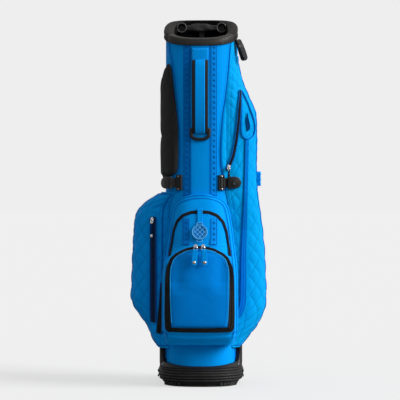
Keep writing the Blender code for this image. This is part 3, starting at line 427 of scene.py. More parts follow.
# ---- small vector tools -------------------------------------------------------------------------
def unit(vectors):
    """The same vectors at length 1."""
    return vectors / np.maximum(np.linalg.norm(vectors, axis=-1, keepdims=True), 1e-12)


def along(points, closed=False):
    """Unit tangents of a line of points."""
    if closed:
        return unit(np.roll(points, -1, 0) - np.roll(points, 1, 0))
    return unit(np.gradient(points, axis=0))


def running(points):
    """Distance covered along a line of points, up to each point."""
    steps = np.linalg.norm(np.diff(points, axis=0), axis=1)
    return np.concatenate([[0.0], np.cumsum(steps)])


def at_run(points, run, spots):
    """The points of a line at given distances along it."""
    return np.stack([np.interp(spots, run, c) for c in points.T], -1)


def pile(*parts):
    """Stacks coordinates of matching shapes into points."""
    return np.stack(np.broadcast_arrays(*parts), -1)


def bent(wave, power):
    """A sine or cosine made squarer or sharper."""
    return np.sign(wave) * np.abs(wave) ** power


def round_turns(count):
    """Even angles once round a circle, from 0."""
    return np.linspace(0.0, 2 * math.pi, count, endpoint=False)


def fade(value, start, length):
    """0 up to `start`, rising to 1 over `length`."""
    return np.clip((value - start) / length, 0.0, 1.0)


def smooth_line(points, step=0.002, ease=0.006, closed=False):
    """The same line with evenly spaced points and rounded corners."""
    points = np.asarray(points, float)
    if closed:
        points = np.vstack([points, points[:1]])
    run = running(points)
    count = max(4, int(run[-1] / step))
    spots = np.linspace(0.0, run[-1], count + 1)
    total, weights = 0.0, 0.0
    for share in np.linspace(-1.0, 1.0, 9):
        weight = 1.1 - abs(share)
        reach = ease * share
        if closed:
            moved = np.mod(spots + reach, run[-1])
        else:
            room = np.minimum(spots, run[-1] - spots)
            moved = spots + np.clip(reach, -room, room)
        total = total + weight * at_run(points, run, moved)
        weights += weight
    line = total / weights
    return line[:-1] if closed else line


def blurred(table, z, width=0.007):
    """Reads a (height, value) table with its corners rounded off."""
    heights, values = np.array(table).T
    total, weights = 0.0, 0.0
    for share in np.linspace(-1.0, 1.0, 9):
        weight = 1.1 - abs(share)
        total = total + weight * np.interp(z + width * share, heights, values)
        weights += weight
    return total / weights


def swell(points, size, seed):
    """Smooth unevenness between -1 and 1, the same on every run."""
    turns = np.random.default_rng(seed)
    total = 0.0
    for _ in range(7):
        wave = turns.normal(size=3) / size
        total = total + np.sin(points @ wave + turns.uniform(0.0, 2 * math.pi))
    return np.clip(total / 3.2, -1.0, 1.0)


# ---- pieces -------------------------------------------------------------------------------------
class Piece:
    """Collects the closed solids of one visible piece, then makes its object."""

    def __init__(self):
        self.points, self.flat, self.faces, self.marks = [], [], [], []
        self.count = 0

    def add(self, points, faces, flat=None, mark=0):
        """Adds points with their flat coordinates, and faces counted from the first of them."""
        points = np.asarray(points, float).reshape(-1, 3)
        flat = points[:, (0, 2)] if flat is None else np.asarray(flat, float).reshape(-1, 2)
        self.points.append(points)
        self.flat.append(flat)
        self.add_faces(faces, mark, self.count)
        self.count += len(points)

    def add_faces(self, faces, mark, first):
        """Adds faces whose points are counted from `first`. The mark picks one of the piece's looks."""
        self.faces += [[int(i) + first for i in face] for face in faces]
        self.marks += [mark] * len(faces)

    def make(self, name, wanted, body="bag", stands_for=(), sharp=42.0):
        """Turns what was added into one object with the wanted looks, riding on a body."""
        points, flat = np.concatenate(self.points), np.concatenate(self.flat)
        mesh = bpy.data.meshes.new(name)
        mesh.from_pydata(points.tolist(), [], self.faces)
        for key in wanted:
            mesh.materials.append(looks[key])
        layer = mesh.uv_layers.new(name="metres")
        corners = np.empty(len(mesh.loops), dtype=np.int32)
        mesh.loops.foreach_get("vertex_index", corners)
        layer.data.foreach_set("uv", flat[corners].ravel())
        mesh.polygons.foreach_set("material_index", self.marks)
        outward(mesh)
        mesh.shade_smooth()
        mesh.set_sharp_from_angle(angle=math.radians(sharp))
        made = bpy.data.objects.new(name, mesh)
        bpy.context.scene.collection.objects.link(made)
        return settle(made, body, stands_for)


def outward(mesh):
    """Turns every face outwards."""
    bm = bmesh.new()
    bm.from_mesh(mesh)
    bmesh.ops.recalc_face_normals(bm, faces=bm.faces)
    bm.to_mesh(mesh)
    bm.free()


def settle(obj, body, stands_for=()):
    """Rides an object on its body and hides the frame parts it stands for."""
    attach(obj, body)
    if stands_for:
        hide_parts(*stands_for)
    return obj


def grid_faces(rows, columns, looped=False):
    """Quads of a grid of points, closed round its columns if looped."""
    across = np.arange(columns if looped else columns - 1)
    start = np.arange(rows - 1)[:, None] * columns
    a, b = start + across, start + (across + 1) % columns
    return np.stack([a, b, b + columns, a + columns], -1).reshape(-1, 4)


def slab(piece, outer, inner, flat, mark=0):
    """A closed solid between two grids of points."""
    rows, columns = outer.shape[:2]
    size = rows * columns
    index = np.arange(size).reshape(rows, columns)
    rim = np.concatenate([index[0], index[1:, -1], index[-1, -2::-1], index[-2:0:-1, 0]])
    after = np.roll(rim, -1)
    top = grid_faces(rows, columns)
    first = piece.count
    piece.add(np.concatenate([outer.reshape(-1, 3), inner.reshape(-1, 3)]),
              np.concatenate([top, pile(rim + size, after + size, after, rim)]),
              np.concatenate([flat.reshape(-1, 2)] * 2), mark)
    piece.add_faces(top[:, ::-1] + size, mark, first)


def loft(piece, rings, flat=None, mark=0, capped=True, closed=False):
    """Joins rings of points, an array (rings, points, 3). Closed joins the last ring to the first."""
    rings = np.asarray(rings, float)
    rows, columns = rings.shape[:2]
    if flat is None:
        flat = pile(running(rings[0]), running(rings[:, 0])[:, None])
    faces = grid_faces(rows, columns, looped=True).tolist()
    if closed:
        last = (rows - 1) * columns
        faces += [(last + i, last + (i + 1) % columns, (i + 1) % columns, i) for i in range(columns)]
    elif capped:
        faces.append(list(range(columns))[::-1])
        faces.append(list(range((rows - 1) * columns, rows * columns)))
    piece.add(rings, faces, flat, mark)


def swept(piece, points, normals, section, mark=0, closed=False, widths=1.0):
    """Sweeps a closed section, listed as (across, height), along a line, its width scaled point by point."""
    points = np.asarray(points, float)
    normals = unit(np.broadcast_to(np.asarray(normals, float), points.shape))
    across = unit(np.cross(normals, along(points, closed)))
    across = across * np.broadcast_to(widths, len(points))[:, None]
    section = np.asarray(section, float)
    rings = points[:, None] + across[:, None] * section[:, :1] + normals[:, None] * section[:, 1:]
    loft(piece, rings, pile(section[:, 0], running(points)[:, None]), mark, closed=closed)


def round_section(radius, lift=0.0, steps=8):
    """A circle, its centre `lift` above the line it is swept along."""
    turn = round_turns(steps)
    return pile(radius * np.cos(turn), lift + radius * np.sin(turn))


def band_section(width, low, high, ease=0.0004):
    """A flat band with eased upper edges."""
    half = width / 2
    return [
        (-half, low), (half, low), (half, high - ease), (half - ease, high), (0.0, high + ease * 0.3),
        (ease - half, high), (-half, high - ease),
    ]


def turned(piece, profile, centre, axis, mark=0, steps=36):
    """A solid of revolution. The profile lists (distance along the axis, radius)."""
    axis = unit(np.asarray(axis, float))
    side = unit(np.cross(axis, (0.31, 0.17, 0.93)))
    other = np.cross(axis, side)
    turn = round_turns(steps)
    circle = side * np.cos(turn)[:, None] + other * np.sin(turn)[:, None]
    rings = [np.asarray(centre) + axis * rise + circle * radius for rise, radius in profile]
    loft(piece, rings, mark=mark)


def rounded_block(size, ease, segments=3):
    """The points and faces of a block with rounded edges, centred on the origin."""
    bm = bmesh.new()
    bmesh.ops.create_cube(bm, size=1.0)
    bmesh.ops.scale(bm, vec=size, verts=bm.verts)
    bmesh.ops.bevel(bm, geom=bm.edges[:], offset=ease, segments=segments, profile=0.5, affect="EDGES")
    bm.verts.index_update()
    points = np.array([v.co[:] for v in bm.verts])
    faces = [[v.index for v in face.verts] for face in bm.faces]
    bm.free()
    return points, faces


def place(piece, shape, centres, lengths, ups, mark=0):
    """Copies a shape to each centre, its X along `lengths` and its Z along `ups`."""
    points, faces = shape
    centres = np.atleast_2d(centres)
    lengths = unit(np.broadcast_to(np.atleast_2d(lengths), centres.shape))
    ups = unit(np.broadcast_to(np.atleast_2d(ups), centres.shape))
    sides = unit(np.cross(ups, lengths))
    ups = np.cross(lengths, sides)
    for centre, x, y, z in zip(centres, lengths, sides, ups):
        piece.add(centre + points @ np.array([x, y, z]), faces, points[:, :2], mark)


def stitch_shape():
    """One stitch: a six-sided bead with pinched ends, laid along X."""
    turn = round_turns(6)
    rings = []
    for x, plump in ((-0.5, 0.25), (-0.3, 1.0), (0.3, 1.0), (0.5, 0.25)):
        z = THREAD * 0.35 * (plump - 0.6) + plump * THREAD * np.sin(turn)
        rings.append(pile(x * STITCH, plump * THREAD * np.cos(turn), z))
    faces = grid_faces(4, 6, looped=True).tolist() + [[5, 4, 3, 2, 1, 0], [18, 19, 20, 21, 22, 23]]
    return np.concatenate(rings), faces


def spots_on(points, normals, pitch):
    """Evenly spaced centres along a line, with the line's direction and the normal at each."""
    run = running(points)
    spots = np.arange(pitch / 2, run[-1], pitch)
    return [at_run(part, run, spots) for part in (points, along(points), normals)]


def stitches(piece, points, normals, mark=1):
    """A row of stitches along a line of points, standing on one normal or one per point."""
    points = np.asarray(points, float)
    normals = np.broadcast_to(normals, points.shape)
    centres, tangents, ups = spots_on(points, normals, STITCH + STITCH_GAP)
    place(piece, stitch_shape(), centres, tangents, ups, mark)


def sew(piece, line, lift=0.0, mark=1):
    """A row of stitches on a surface line, lifted off it."""
    points, normals = line
    stitches(piece, points + normals * lift, normals, mark)


def pipe(piece, line, radius, lift=0.0, mark=0, closed=False, steps=8):
    """A round cord on a surface line."""
    swept(piece, *line, round_section(radius, lift, steps), mark, closed)


def teeth(piece, points, normals, mark=0):
    """Two interlocked rows of zip coils."""
    pitch = 0.0016
    shape = rounded_block((pitch * 0.62, 0.0022, 0.0011), 0.0003, 1)
    for side in (-1, 1):
        centres, tangents, ups = spots_on(points, normals, pitch)
        across = unit(np.cross(ups, tangents))
        shift = tangents * (pitch / 4 * side) + across * (0.0008 * side)
        place(piece, shape, centres + shift, tangents, ups, mark)


# ---- the bag's surfaces -------------------------------------------------------------------------
def oval(turn, grow=0.0):
    """Points round the oval. Turn 0 is the front and +90 degrees the +X side."""
    half = HALF_WIDTH + grow
    return ring_at(half, half + DEPTH_EXTRA, turn)


def ring_at(half_width, half_depth, turn, square=0.0):
    """Points round an oval ring. `square` fills out its rear corners."""
    s, c = np.sin(turn), np.cos(turn)
    power = 2 / (OVAL_POWER + square * (0.5 - 0.5 * c))
    return half_width * bent(s, power), -half_depth * bent(c, power)


TURNS = np.linspace(0.0, math.pi, 8001)
TURN_ARC = running(np.stack(oval(TURNS), -1))
HALF_GIRTH = TURN_ARC[-1]


def turn_at(arc):
    """The oval's angle at a distance round the tube from its front centre line."""
    return np.sign(arc) * np.interp(np.abs(arc), TURN_ARC, TURNS)


def arc_at(turn):
    """Distance round the tube to an angle of the oval."""
    return np.sign(turn) * np.interp(np.abs(turn), TURNS, TURN_ARC)


def arc_at_x(x):
    """Distance round the tube to a front point with this x."""
    quarter = TURNS <= math.pi / 2
    return np.sign(x) * np.interp(np.abs(x), oval(TURNS[quarter])[0], TURN_ARC[quarter])


def skin(arc, z):
    """The tube's surface, by distance round it and height."""
    return pile(*oval(turn_at(arc)), z)


def tube_face(x, z):
    """The front of the tube, by x and height."""
    return skin(arc_at_x(x), z)


def front_wall(x, grow=0.0):
    """How far forward the tube's front stands at each x."""
    inside = np.clip(1.0 - (np.abs(x) / (HALF_WIDTH + grow)) ** OVAL_POWER, 0.0, None)
    return (HALF_WIDTH + DEPTH_EXTRA + grow) * inside ** (1 / OVAL_POWER)


def front(x, z):
    """The front pocket's face, which rounds off to the tube at its sides and is flatter lower down."""
    share = np.minimum(1.0, np.abs(x) / blurred(FRONT_WIDTH, z))
    lower = fade(-z, -0.335, 0.040)
    reach = blurred(FRONT_REACH, z) * np.sqrt(1.0 - share ** (6.0 + 14.0 * lower))
    side = np.minimum(0.068, front_wall(np.minimum(np.abs(x), 0.0735), 0.001))
    drop = front_wall(0.0) - front_wall(x)
    held = drop / (1.0 + (drop / 0.0090) ** 4) ** 0.25
    kept = held + (0.2 * drop - held) * fade(-z, -0.250, 0.030)
    wall = front_wall(x) + (drop - kept) * lower
    return pile(x, -np.maximum(side, wall) - reach, z)


def side_start(z, sign=1):
    """Where a side pocket's front edge sits round the tube, at each height."""
    low, rise = (0.370, 0.090) if sign > 0 else (0.425, 0.035)
    return np.radians(57.0 - 17.0 * fade(z, low, rise) + 14.0 * fade(z, 0.69, 0.125))


def side_at(sign, table):
    """A side pocket's face: u runs from 0 at its front edge to 1 at its rear."""
    def surface(u, z):
        start = side_start(z, sign)
        turn = start + (SIDE_REAR - start) * u
        x, y = oval(turn, 0.0006)
        bulge = np.clip(1.0 - np.abs(2 * u - 1) ** 2.6, 0.0, None) ** 0.6
        return pile(sign * (x + blurred(table, z, 0.005) * bulge + 0.0015), y, z)

    return surface


def side_face(sign, table):
    """The part of a side pocket's face seen from the front, by x and height."""
    surface = side_at(sign, table)

    def face(x, z):
        x, z = np.broadcast_arrays(np.asarray(x, float), z)
        low, high = np.zeros(x.shape), np.full(x.shape, 0.5)
        for _ in range(28):
            middle = (low + high) / 2
            under = np.abs(surface(middle, z)[..., 0]) < np.abs(x)
            low, high = np.where(under, middle, low), np.where(under, high, middle)
        point = surface(low, z)
        point[..., 0] = x
        return point

    return face


def facing(surface, u, v, step=0.0004):
    """Outward unit normals of a surface."""
    across = surface(u + step, v) - surface(u - step, v)
    up = surface(u, v + step) - surface(u, v - step)
    normal = unit(np.cross(across, up))
    away = np.sum(normal[..., :2] * surface(u, v)[..., :2], -1, keepdims=True)
    return np.where(away < 0.0, -normal, normal)


def line_on(surface, path, step=0.002, ease=0.006, closed=False):
    """Points and normals of a smoothed path on a surface."""
    path = smooth_line(path, step, ease, closed)
    u, v = path.T
    return surface(u, v), facing(surface, u, v)


def tube_line(path, step=0.003, ease=0.008, closed=False):
    """Points and normals of a line on the tube, given as front (x, z) points."""
    x, z = np.array(path, float).T
    return line_on(skin, pile(arc_at_x(x), z), step, ease, closed)


def crown(distance, radius):
    """Height share of a rounded edge at a distance from it."""
    return np.sqrt(np.clip(1.0 - (1.0 - np.clip(distance / radius, 0.0, 1.0)) ** 2, 0.0, 1.0))


def rim_distance(u, v, left, right, heights):
    """Distance of each point of a panel from the panel's outline, in the surface's own metres."""
    rim = np.concatenate([pile(left, heights), pile(right, heights)[::-1], [[left[0], heights[0]]]])
    run = running(rim)
    rim = at_run(rim, run, np.arange(0.0, run[-1], 0.0008))
    points = pile(u, v).reshape(-1, 2)
    nearest = np.full(len(points), 1.0)
    for chunk in np.array_split(rim, max(1, len(rim) // 64)):
        gaps = np.linalg.norm(points[:, None] - chunk[None], axis=-1).min(axis=1)
        nearest = np.minimum(nearest, gaps)
    return nearest.reshape(u.shape)


def panel(piece, surface, heights, left, right, low, high, edge=0.0012, columns=40, mark=0, relief=None):
    """A sewn panel on a surface between two side edges, each a value per height. Its rim is rounded."""
    heights = np.asarray(heights, float)
    share = np.concatenate([[0.0, 0.006, 0.015], np.linspace(0.03, 0.97, columns), [0.985, 0.994, 1.0]])
    left, right = np.broadcast_to(left, heights.shape), np.broadcast_to(right, heights.shape)
    u = left[:, None] + (right - left)[:, None] * share
    v = np.broadcast_to(heights[:, None], u.shape)
    rim = rim_distance(u, v, left, right, heights)
    base, normal = surface(u, v), facing(surface, u, v)
    height = low + (high - low) * (0.2 + 0.8 * crown(rim, edge))
    if relief is not None:
        height = height + relief(u, v, rim)
    slab(piece, base + normal * height[..., None], base + normal * low, pile(u, v), mark)


def refined(low, high, step, edge=0.0012):
    """Heights from low to high that crowd together at both ends."""
    count = max(4, int((high - low) / step))
    rim = edge * np.array([0.0, 0.25, 0.6])
    return np.concatenate([low + rim, np.linspace(low + edge, high - edge, count), high - rim[::-1]])

# ---- fabric tube --------------------------------------------------------------------------------
def make_tube():
    """The tube's fabric, drawn in slightly between its stays, with a black lining inside."""
    arcs = np.linspace(-HALF_GIRTH, HALF_GIRTH, 241)[:-1]
    turn = turn_at(arcs)
    x, y = oval(turn)
    low, high = 0.0102, CUFF_LOW + 0.0075 + y * RISE
    share = np.linspace(0.0, 1.0, 130)[:, None]
    outer = pile(x, y, low + (high - low) * share)
    flat = pile(arcs, outer[..., 2])
    sag = 0.0007 * np.sin(math.pi * share) ** 0.5 * (swell(outer, 0.07, 5) - 1.0)
    outer = outer + unit(pile(x, y, 0.0)) * sag[..., None]
    inner = outer.copy()
    inner[..., 0], inner[..., 1] = oval(turn, -0.0016)
    inner[0, :, 2] += 0.0016
    size = outer[..., 0].size
    ring = np.arange(len(arcs))
    after = np.roll(ring, -1)
    top = size - len(arcs)
    wall = grid_faces(len(outer), len(arcs), looped=True)
    piece = Piece()
    piece.add(np.concatenate([outer.reshape(-1, 3), inner.reshape(-1, 3)]), wall,
              np.concatenate([flat.reshape(-1, 2)] * 2))
    piece.add_faces(wall[:, ::-1] + size, 1, 0)
    piece.add_faces(pile(ring + top, after + top, after + top + size, ring + top + size), 1, 0)
    piece.add_faces([ring + size, ring[::-1]], 1, 0)
    piece.make("tube_fabric", ["blue", "lining"], stands_for=["body_shell"])


def make_ribbons(kind, surface, middle, heights, low, high, columns, ends):
    """A pressed ribbon at each side of the middle, sewn down along both edges."""
    # Painted light: the left ribbon takes the shaded copy of the ribbon look and the right one the lit copy.
    for name, look, side in (("left", "ribbon", -1), ("right", "ribbon_painted_lit", 1)):
        centre = side * middle
        piece = Piece()
        panel(piece, lambda u, v, c=centre: surface(u + c, v), heights, -RIBBON_HALF, RIBBON_HALF, low, high,
              0.0006, columns)
        for edge in (-1, 1):
            path = [(centre + edge * (RIBBON_HALF - 0.0010), z) for z in ends]
            sew(piece, line_on(surface, path), high)
        piece.make(name + kind, [look, "thread"])


def make_tube_trim():
    """Piped seams, the plain centre panel and the two pressed ribbons that run down the front."""
    piece = Piece()
    for path in (LEFT_SEAM, RIGHT_SEAM):
        pipe(piece, tube_line(path), PIPING * 1.15, 0.0006, 2)
        for shift in (-0.0042, 0.0042):
            sew(piece, tube_line([(x + shift, z) for x, z in path]), 0.0004)
    heights = np.linspace(0.090, 0.855, 30)
    for side in (-1, 1):
        rear = side * (HALF_GIRTH - 0.0744)
        pipe(piece, line_on(skin, pile(rear, heights)), PIPING, 0.0006)
        sew(piece, line_on(skin, pile(rear + side * 0.004, heights)))
    for side in (-1, 1):
        pipe(piece, tube_line([(side * 0.0820, z) for z in (0.0600, 0.0800, 0.1080)]), 0.0014, 0.0006)
        sew(piece, tube_line([(side * 0.0772, z) for z in (0.0600, 0.1080)]))
    piece.make("tube_seam_piping", ["blue_trim", "thread", "cord"])

    piece = Piece()
    low, high = 0.4500, 0.8140
    panel(piece, tube_face, refined(low, high, 0.006), -PANEL_HALF, PANEL_HALF, -0.0008, 0.0014, 0.0010, 26)
    for side in (-1, 1):
        sew(piece, tube_line([(side * (PANEL_HALF - 0.0026), z) for z in (low + 0.004, high)]), 0.0014)
        # The dark cord along each edge of the centre panel is a painted fold shadow on the seam there.
        pipe(piece, tube_line([(side * (PANEL_HALF + 0.0003), z) for z in (low, high)]), 0.0010, 0.0007, 2)
    sew(piece, tube_line([(x, 0.5795) for x in np.linspace(-0.0185, 0.0185, 5)]), 0.0014)
    piece.make("front_centre_panel", ["blue", "thread", "cord"])

    middle = arc_at_x((RIBBON_INNER + RIBBON_OUTER) / 2)
    make_ribbons("_ribbon", skin, middle, refined(0.4450, 0.8170, 0.006), -0.0006, 0.0009, 16, (0.452, 0.812))


# ---- grab strap ---------------------------------------------------------------------------------
def box_path(half, low, high):
    """The corners of an upright rectangle about x = 0."""
    return [(-half, low), (half, low), (half, high), (-half, high)]


def make_grab_strap():
    """The stitched patch under the cuff, the bowed strap with its blue face, and the ring at its foot."""
    piece = Piece()
    panel(piece, tube_face, refined(0.7705, 0.8020, 0.002), -0.0198, 0.0198, 0.0006, 0.0042,
          edge=0.0022, columns=26, relief=lambda u, v, rim: 0.0005 * crown(rim, 0.008))
    sew(piece, tube_line(box_path(0.0170, 0.7762, 0.7990), 0.002, 0.0012, closed=True), 0.0043)
    rim = tube_line(box_path(0.0200, 0.7703, 0.8022), 0.0016, 0.0012, closed=True)
    pipe(piece, rim, 0.0010, 0.0022, 2, closed=True)
    pipe(piece, tube_line([(-0.0185, 0.7713), (0.0185, 0.7713)], 0.0016), 0.0009, 0.0036, 1)
    piece.make("grab_strap_patch", ["blue", "badge_line", "cord"], stands_for=["handle_patch"])

    shares = np.concatenate([[0.0, 0.004], np.linspace(0.012, 0.988, 70), [0.996, 1.0]])
    heights = HANDLE_LOW + 0.0002 + (HANDLE_HIGH - HANDLE_LOW - 0.0004) * shares
    bow = 0.0012 + 0.0165 * np.sin(math.pi * shares) ** 0.55
    bow[-1] = 0.0012
    spine = pile(0.0, -front_wall(0.0) - bow - 0.0026, heights)
    ups = unit(np.cross(along(spine), RIGHT))
    ups = np.where(ups[:, 1:2] > 0.0, -ups, ups)
    width, thick = 0.0190, 0.0030
    x = width * bent(np.cos(round_turns(44)), 0.22)
    rise = thick * bent(np.sin(round_turns(44)), 0.75)
    piece = Piece()
    rings = spine[:, None] + x[:, None] * RIGHT + ups[:, None] * rise[:, None]
    loft(piece, rings, pile(x, heights[:, None]), 1)
    face = spine + ups * (thick - 0.0001)
    half = 0.0116
    x = np.linspace(-half, half, 20)
    lift = 0.0014 * crown(np.minimum(half - np.abs(x), 0.002), 0.0016)[:, None]
    rows = slice(1, -1)
    outer = face[rows, None] + x[:, None] * RIGHT + ups[rows, None] * (lift + 0.0002)
    slab(piece, outer, outer - ups[rows, None] * (lift + 0.0008), pile(x, heights[rows, None]))
    for side in (-1, 1):
        line = face + ups * 0.0013 + RIGHT * side * (half - 0.0024)
        stitches(piece, line[3:-3], ups[3:-3], 2)
    strap = piece.make("grab_strap", ["blue", "binding", "thread"], stands_for=["front_handle"])

    piece = Piece()
    bend = np.linspace(0.0, math.pi, 15)
    foot = [(-0.0206 * math.cos(a), 0.6010 - 0.0150 * math.sin(a) ** 0.55) for a in bend]
    path = [(-0.0206, 0.6120), *foot, (0.0206, 0.6120)]
    section = [(a, 0.0038 + b * 0.85) for a, b in round_section(0.0040, 0.0, 14)]
    swept(piece, *tube_line(path, 0.0015, 0.002), section)
    piece.make("grab_strap_ring", ["plastic"], stands_for=["handle_ring"])


# ---- front pocket -------------------------------------------------------------------------------
def make_front_pocket():
    """The front pocket: a soft box that rolls back to the tube at its sides and sags over its foot."""
    middle = np.linspace(0.105, 0.452, 150)
    heights = np.concatenate([[0.1022, 0.1026, 0.1036], middle, [0.4535, 0.4550, 0.4558]])
    share = np.sin(np.linspace(-math.pi / 2, math.pi / 2, 121))
    half = blurred(FRONT_WIDTH, heights) * 0.9985
    x = half[:, None] * share
    z = np.broadcast_to(heights[:, None], x.shape)
    outer = front(x, z)
    inner = outer.copy()
    inner[..., 1] = -np.maximum(0.0676, front_wall(x, 0.0019))
    normal = facing(front, x * 0.999, z)
    room = -(outer[..., 1] - inner[..., 1])
    soft = np.clip(room / 0.02, 0.0, 1.0)
    fold = 0.0016 * np.exp(-((z - 0.1235 - 0.006 * share**2) / 0.0035) ** 2)
    wrinkle = 0.0009 * swell(outer * (1.0, 1.0, 0.6), 0.022, 11)
    pushed = (wrinkle - fold) * soft
    outer = outer + normal * pushed[..., None]
    outer[..., 1] = np.minimum(outer[..., 1], inner[..., 1] - 0.0012)
    piece = Piece()
    slab(piece, outer, inner, pile(x, z))
    piece.make("front_pocket_shell", ["blue"], stands_for=["front_pocket"])

    piece = Piece()
    for inset in (0.0035, 0.0096):
        path = outline(FRONT_WIDTH, 0.108, -inset, 0.0004)
        pipe(piece, line_on(front, path, 0.002, 0.005), PIPING, 0.0003)
    sew(piece, line_on(front, outline(FRONT_WIDTH, 0.112, -0.0124, 0.0004), 0.002, 0.005), 0.0002)
    piece.make("front_pocket_piping", ["blue_trim", "thread"])


def outline(points, low, grow, crown_rise=0.0013):
    """The path round a panel's sides and arched top, grown outwards, from low left to low right."""
    edge = [(half, z) for z, half in points if z >= low]
    top = (0.0, points[-1][0] + crown_rise)
    right = []
    for k, (x, z) in enumerate(edge):
        reach = grow(z) if callable(grow) else grow
        before = edge[max(k - 1, 0)]
        after = edge[k + 1] if k + 1 < len(edge) else top
        dx, dz = after[0] - before[0], after[1] - before[1]
        length = math.hypot(dx, dz)
        right.append((x + dz / length * reach, z - dx / length * reach))
    return [(-x, z) for x, z in right] + [(0.0, top[1] + reach)] + right[::-1]


def arched(piece, table, low, high, bottom, top, edge, mark=0, relief=None, foot=None):
    """A panel that narrows to an arch at its top."""
    heights = high - (high - low) * (1.0 - np.sin(np.linspace(0.0, math.pi / 2, 96)))
    heights = np.concatenate([[low, low + 0.0004, low + 0.001], heights[heights > low + 0.0016]])
    half = blurred(table, heights, 0.004)
    if foot:
        half = half - foot * (1.0 - crown(heights - low, foot))
    panel(piece, front, heights, -half, half, bottom, top, edge, 60, mark, relief)


def zip_run(piece, points, normals, width, lift, closed=False, cover=0.0, widths=1.0):
    """Woven tape with a rib down each edge and the coils between."""
    half = width / 2
    tape = [(-half, lift), (half, lift), (half, lift + 0.0007), (half - 0.0009, lift + 0.0010),
            (half - 0.0014, lift + 0.0007), (0.0, lift + 0.0006), (0.0014 - half, lift + 0.0007),
            (0.0009 - half, lift + 0.0010), (-half, lift + 0.0007)]
    swept(piece, points, normals, tape, 0, closed, widths)
    teeth(piece, points + normals * (lift + 0.0010), normals, mark=1)
    if cover:
        for side in (-1, 1):
            reach = np.broadcast_to(widths, len(points))[:, None] * half + cover * 0.35
            across = unit(np.cross(normals, along(points))) * side * reach
            swept(piece, points + across, normals, round_section(cover * 0.5, lift + 0.0003), 2, closed)


def make_front_panels():
    """The arched upper pocket, its ribbons, and the ball pocket's own crowned front."""
    def thin_foot(u, v, rim):
        return -0.0030 * (1.0 - fade(v, 0.3330, 0.020))

    def puffed(u, v, rim):
        swollen = 0.0016 * crown(rim, 0.045) * np.clip((0.305 - v) / 0.050, 0.0, 1.0)
        return swollen + 0.0004 * swell(pile(u, v, 0.0), 0.02, 31) * fade(rim, 0.0, 0.01)

    piece = Piece()
    arched(piece, ARCH_PANEL, 0.3330, 0.4082, 0.0008, 0.0030, 0.0016, relief=thin_foot)
    sew(piece, line_on(front, outline(ARCH_PANEL, 0.352, -0.0028), 0.002, 0.004), 0.0029)
    piece.make("upper_pocket_panel", ["blue", "thread"], stands_for=["valuables_panel"])
    make_ribbons("_lower_ribbon", front, (RIBBON_INNER + RIBBON_OUTER) / 2,
                 refined(0.3365, 0.3985, 0.003, 0.0006), 0.0016, 0.0036, 14, (0.338, 0.37, 0.397))

    piece = Piece()
    arched(piece, BALL_PANEL, 0.1455, 0.3262, 0.0010, 0.0040, 0.0030, relief=puffed, foot=0.003)
    pipe(piece, line_on(front, outline(BALL_PANEL, 0.1465, -0.0006), 0.002, 0.004), PIPING * 1.1, 0.0038, 1)
    path = outline(BALL_PANEL, 0.158, -0.0046) + [(0.0560, 0.1500), (0.0, 0.1496), (-0.0560, 0.1500)]
    sew(piece, line_on(front, path, 0.002, 0.005, closed=True), 0.0052, 2)
    # The ball pocket's front takes the darkened blue, painted shade.
    face = piece.make("ball_pocket_front", ["ball_blue_painted_shade", "piping_light", "thread"],
                      stands_for=["ball_pocket_panel"])


def make_front_zips():
    """The zips round the ball pocket and the upper pocket, and the one down the left flank."""
    piece = Piece()
    reach = [
        (0.146, 0.0080), (0.175, 0.0079), (0.205, 0.0071), (0.262, 0.0053), (0.300, 0.0040), (0.330, 0.0034),
    ]

    def half_width(z):
        return blurred(reach, z, 0.006)

    path = outline(BALL_PANEL, 0.1455, lambda z: float(half_width(np.array(z))) + 0.0006)
    foot = [(path[-1][0], 0.1402), (0.0400, 0.1390), (0.0, 0.1386)]
    path = path + foot + [(-x, z) for x, z in foot[-2::-1]]
    points, normals = line_on(front, path, 0.0015, 0.003, closed=True)
    upright = np.where(points[:, 2] > 0.20, 1.0, np.abs(along(points)[:, 2]))
    widths = (upright * half_width(points[:, 2]) + (1.0 - upright) * 0.0052) / 0.0044
    widths = np.convolve(np.concatenate([widths[-4:], widths, widths[:4]]), np.ones(9) / 9, "valid")
    zip_run(piece, points, normals, 0.0088, 0.0016, closed=True, widths=widths)
    piece.make("ball_pocket_zipper", ["tape", "teeth"], stands_for=["ball_pocket_zip"])

    piece = Piece()
    path = outline(ARCH_PANEL, 0.348, 0.0056)
    path = [(-0.0700, 0.3110), (-0.0678, 0.3280)] + path + [(0.0678, 0.3280), (0.0700, 0.3110)]
    points, normals = line_on(front, path, 0.0015, 0.006)
    zip_run(piece, points, normals, 0.0074, 0.0012)
    piece.make("upper_pocket_zipper", ["tape", "teeth"], stands_for=["valuables_zip"])

    piece = Piece()
    spine = [(-0.0925, 0.2450), (-0.0935, 0.2200), (-0.0945, 0.1850), (-0.0975, 0.1500), (-0.0998, 0.1230)]
    points = smooth_line([(x, -0.0900, z) for x, z in spine], 0.0015, 0.006)
    points[:, 1] = side_face(-1, LEFT_REACH)(points[:, 0], points[:, 2])[:, 1] - 0.0030
    normals = np.broadcast_to(unit(np.array([-0.42, -0.90, 0.0])), points.shape)
    widths = 0.55 + 0.70 * np.clip((0.2450 - points[:, 2]) / 0.080, 0.0, 1.0)
    bed = [(-0.0052, -0.0100), (0.0052, -0.0100), (0.0060, 0.0), (0.0, 0.0002), (-0.0060, 0.0)]
    swept(piece, points, normals, bed, 0, widths=widths)
    zip_run(piece, points, normals, 0.0105, -0.0002, cover=0.0020, widths=widths)
    piece.make("left_flank_zipper", ["tape", "teeth", "blue_trim"])


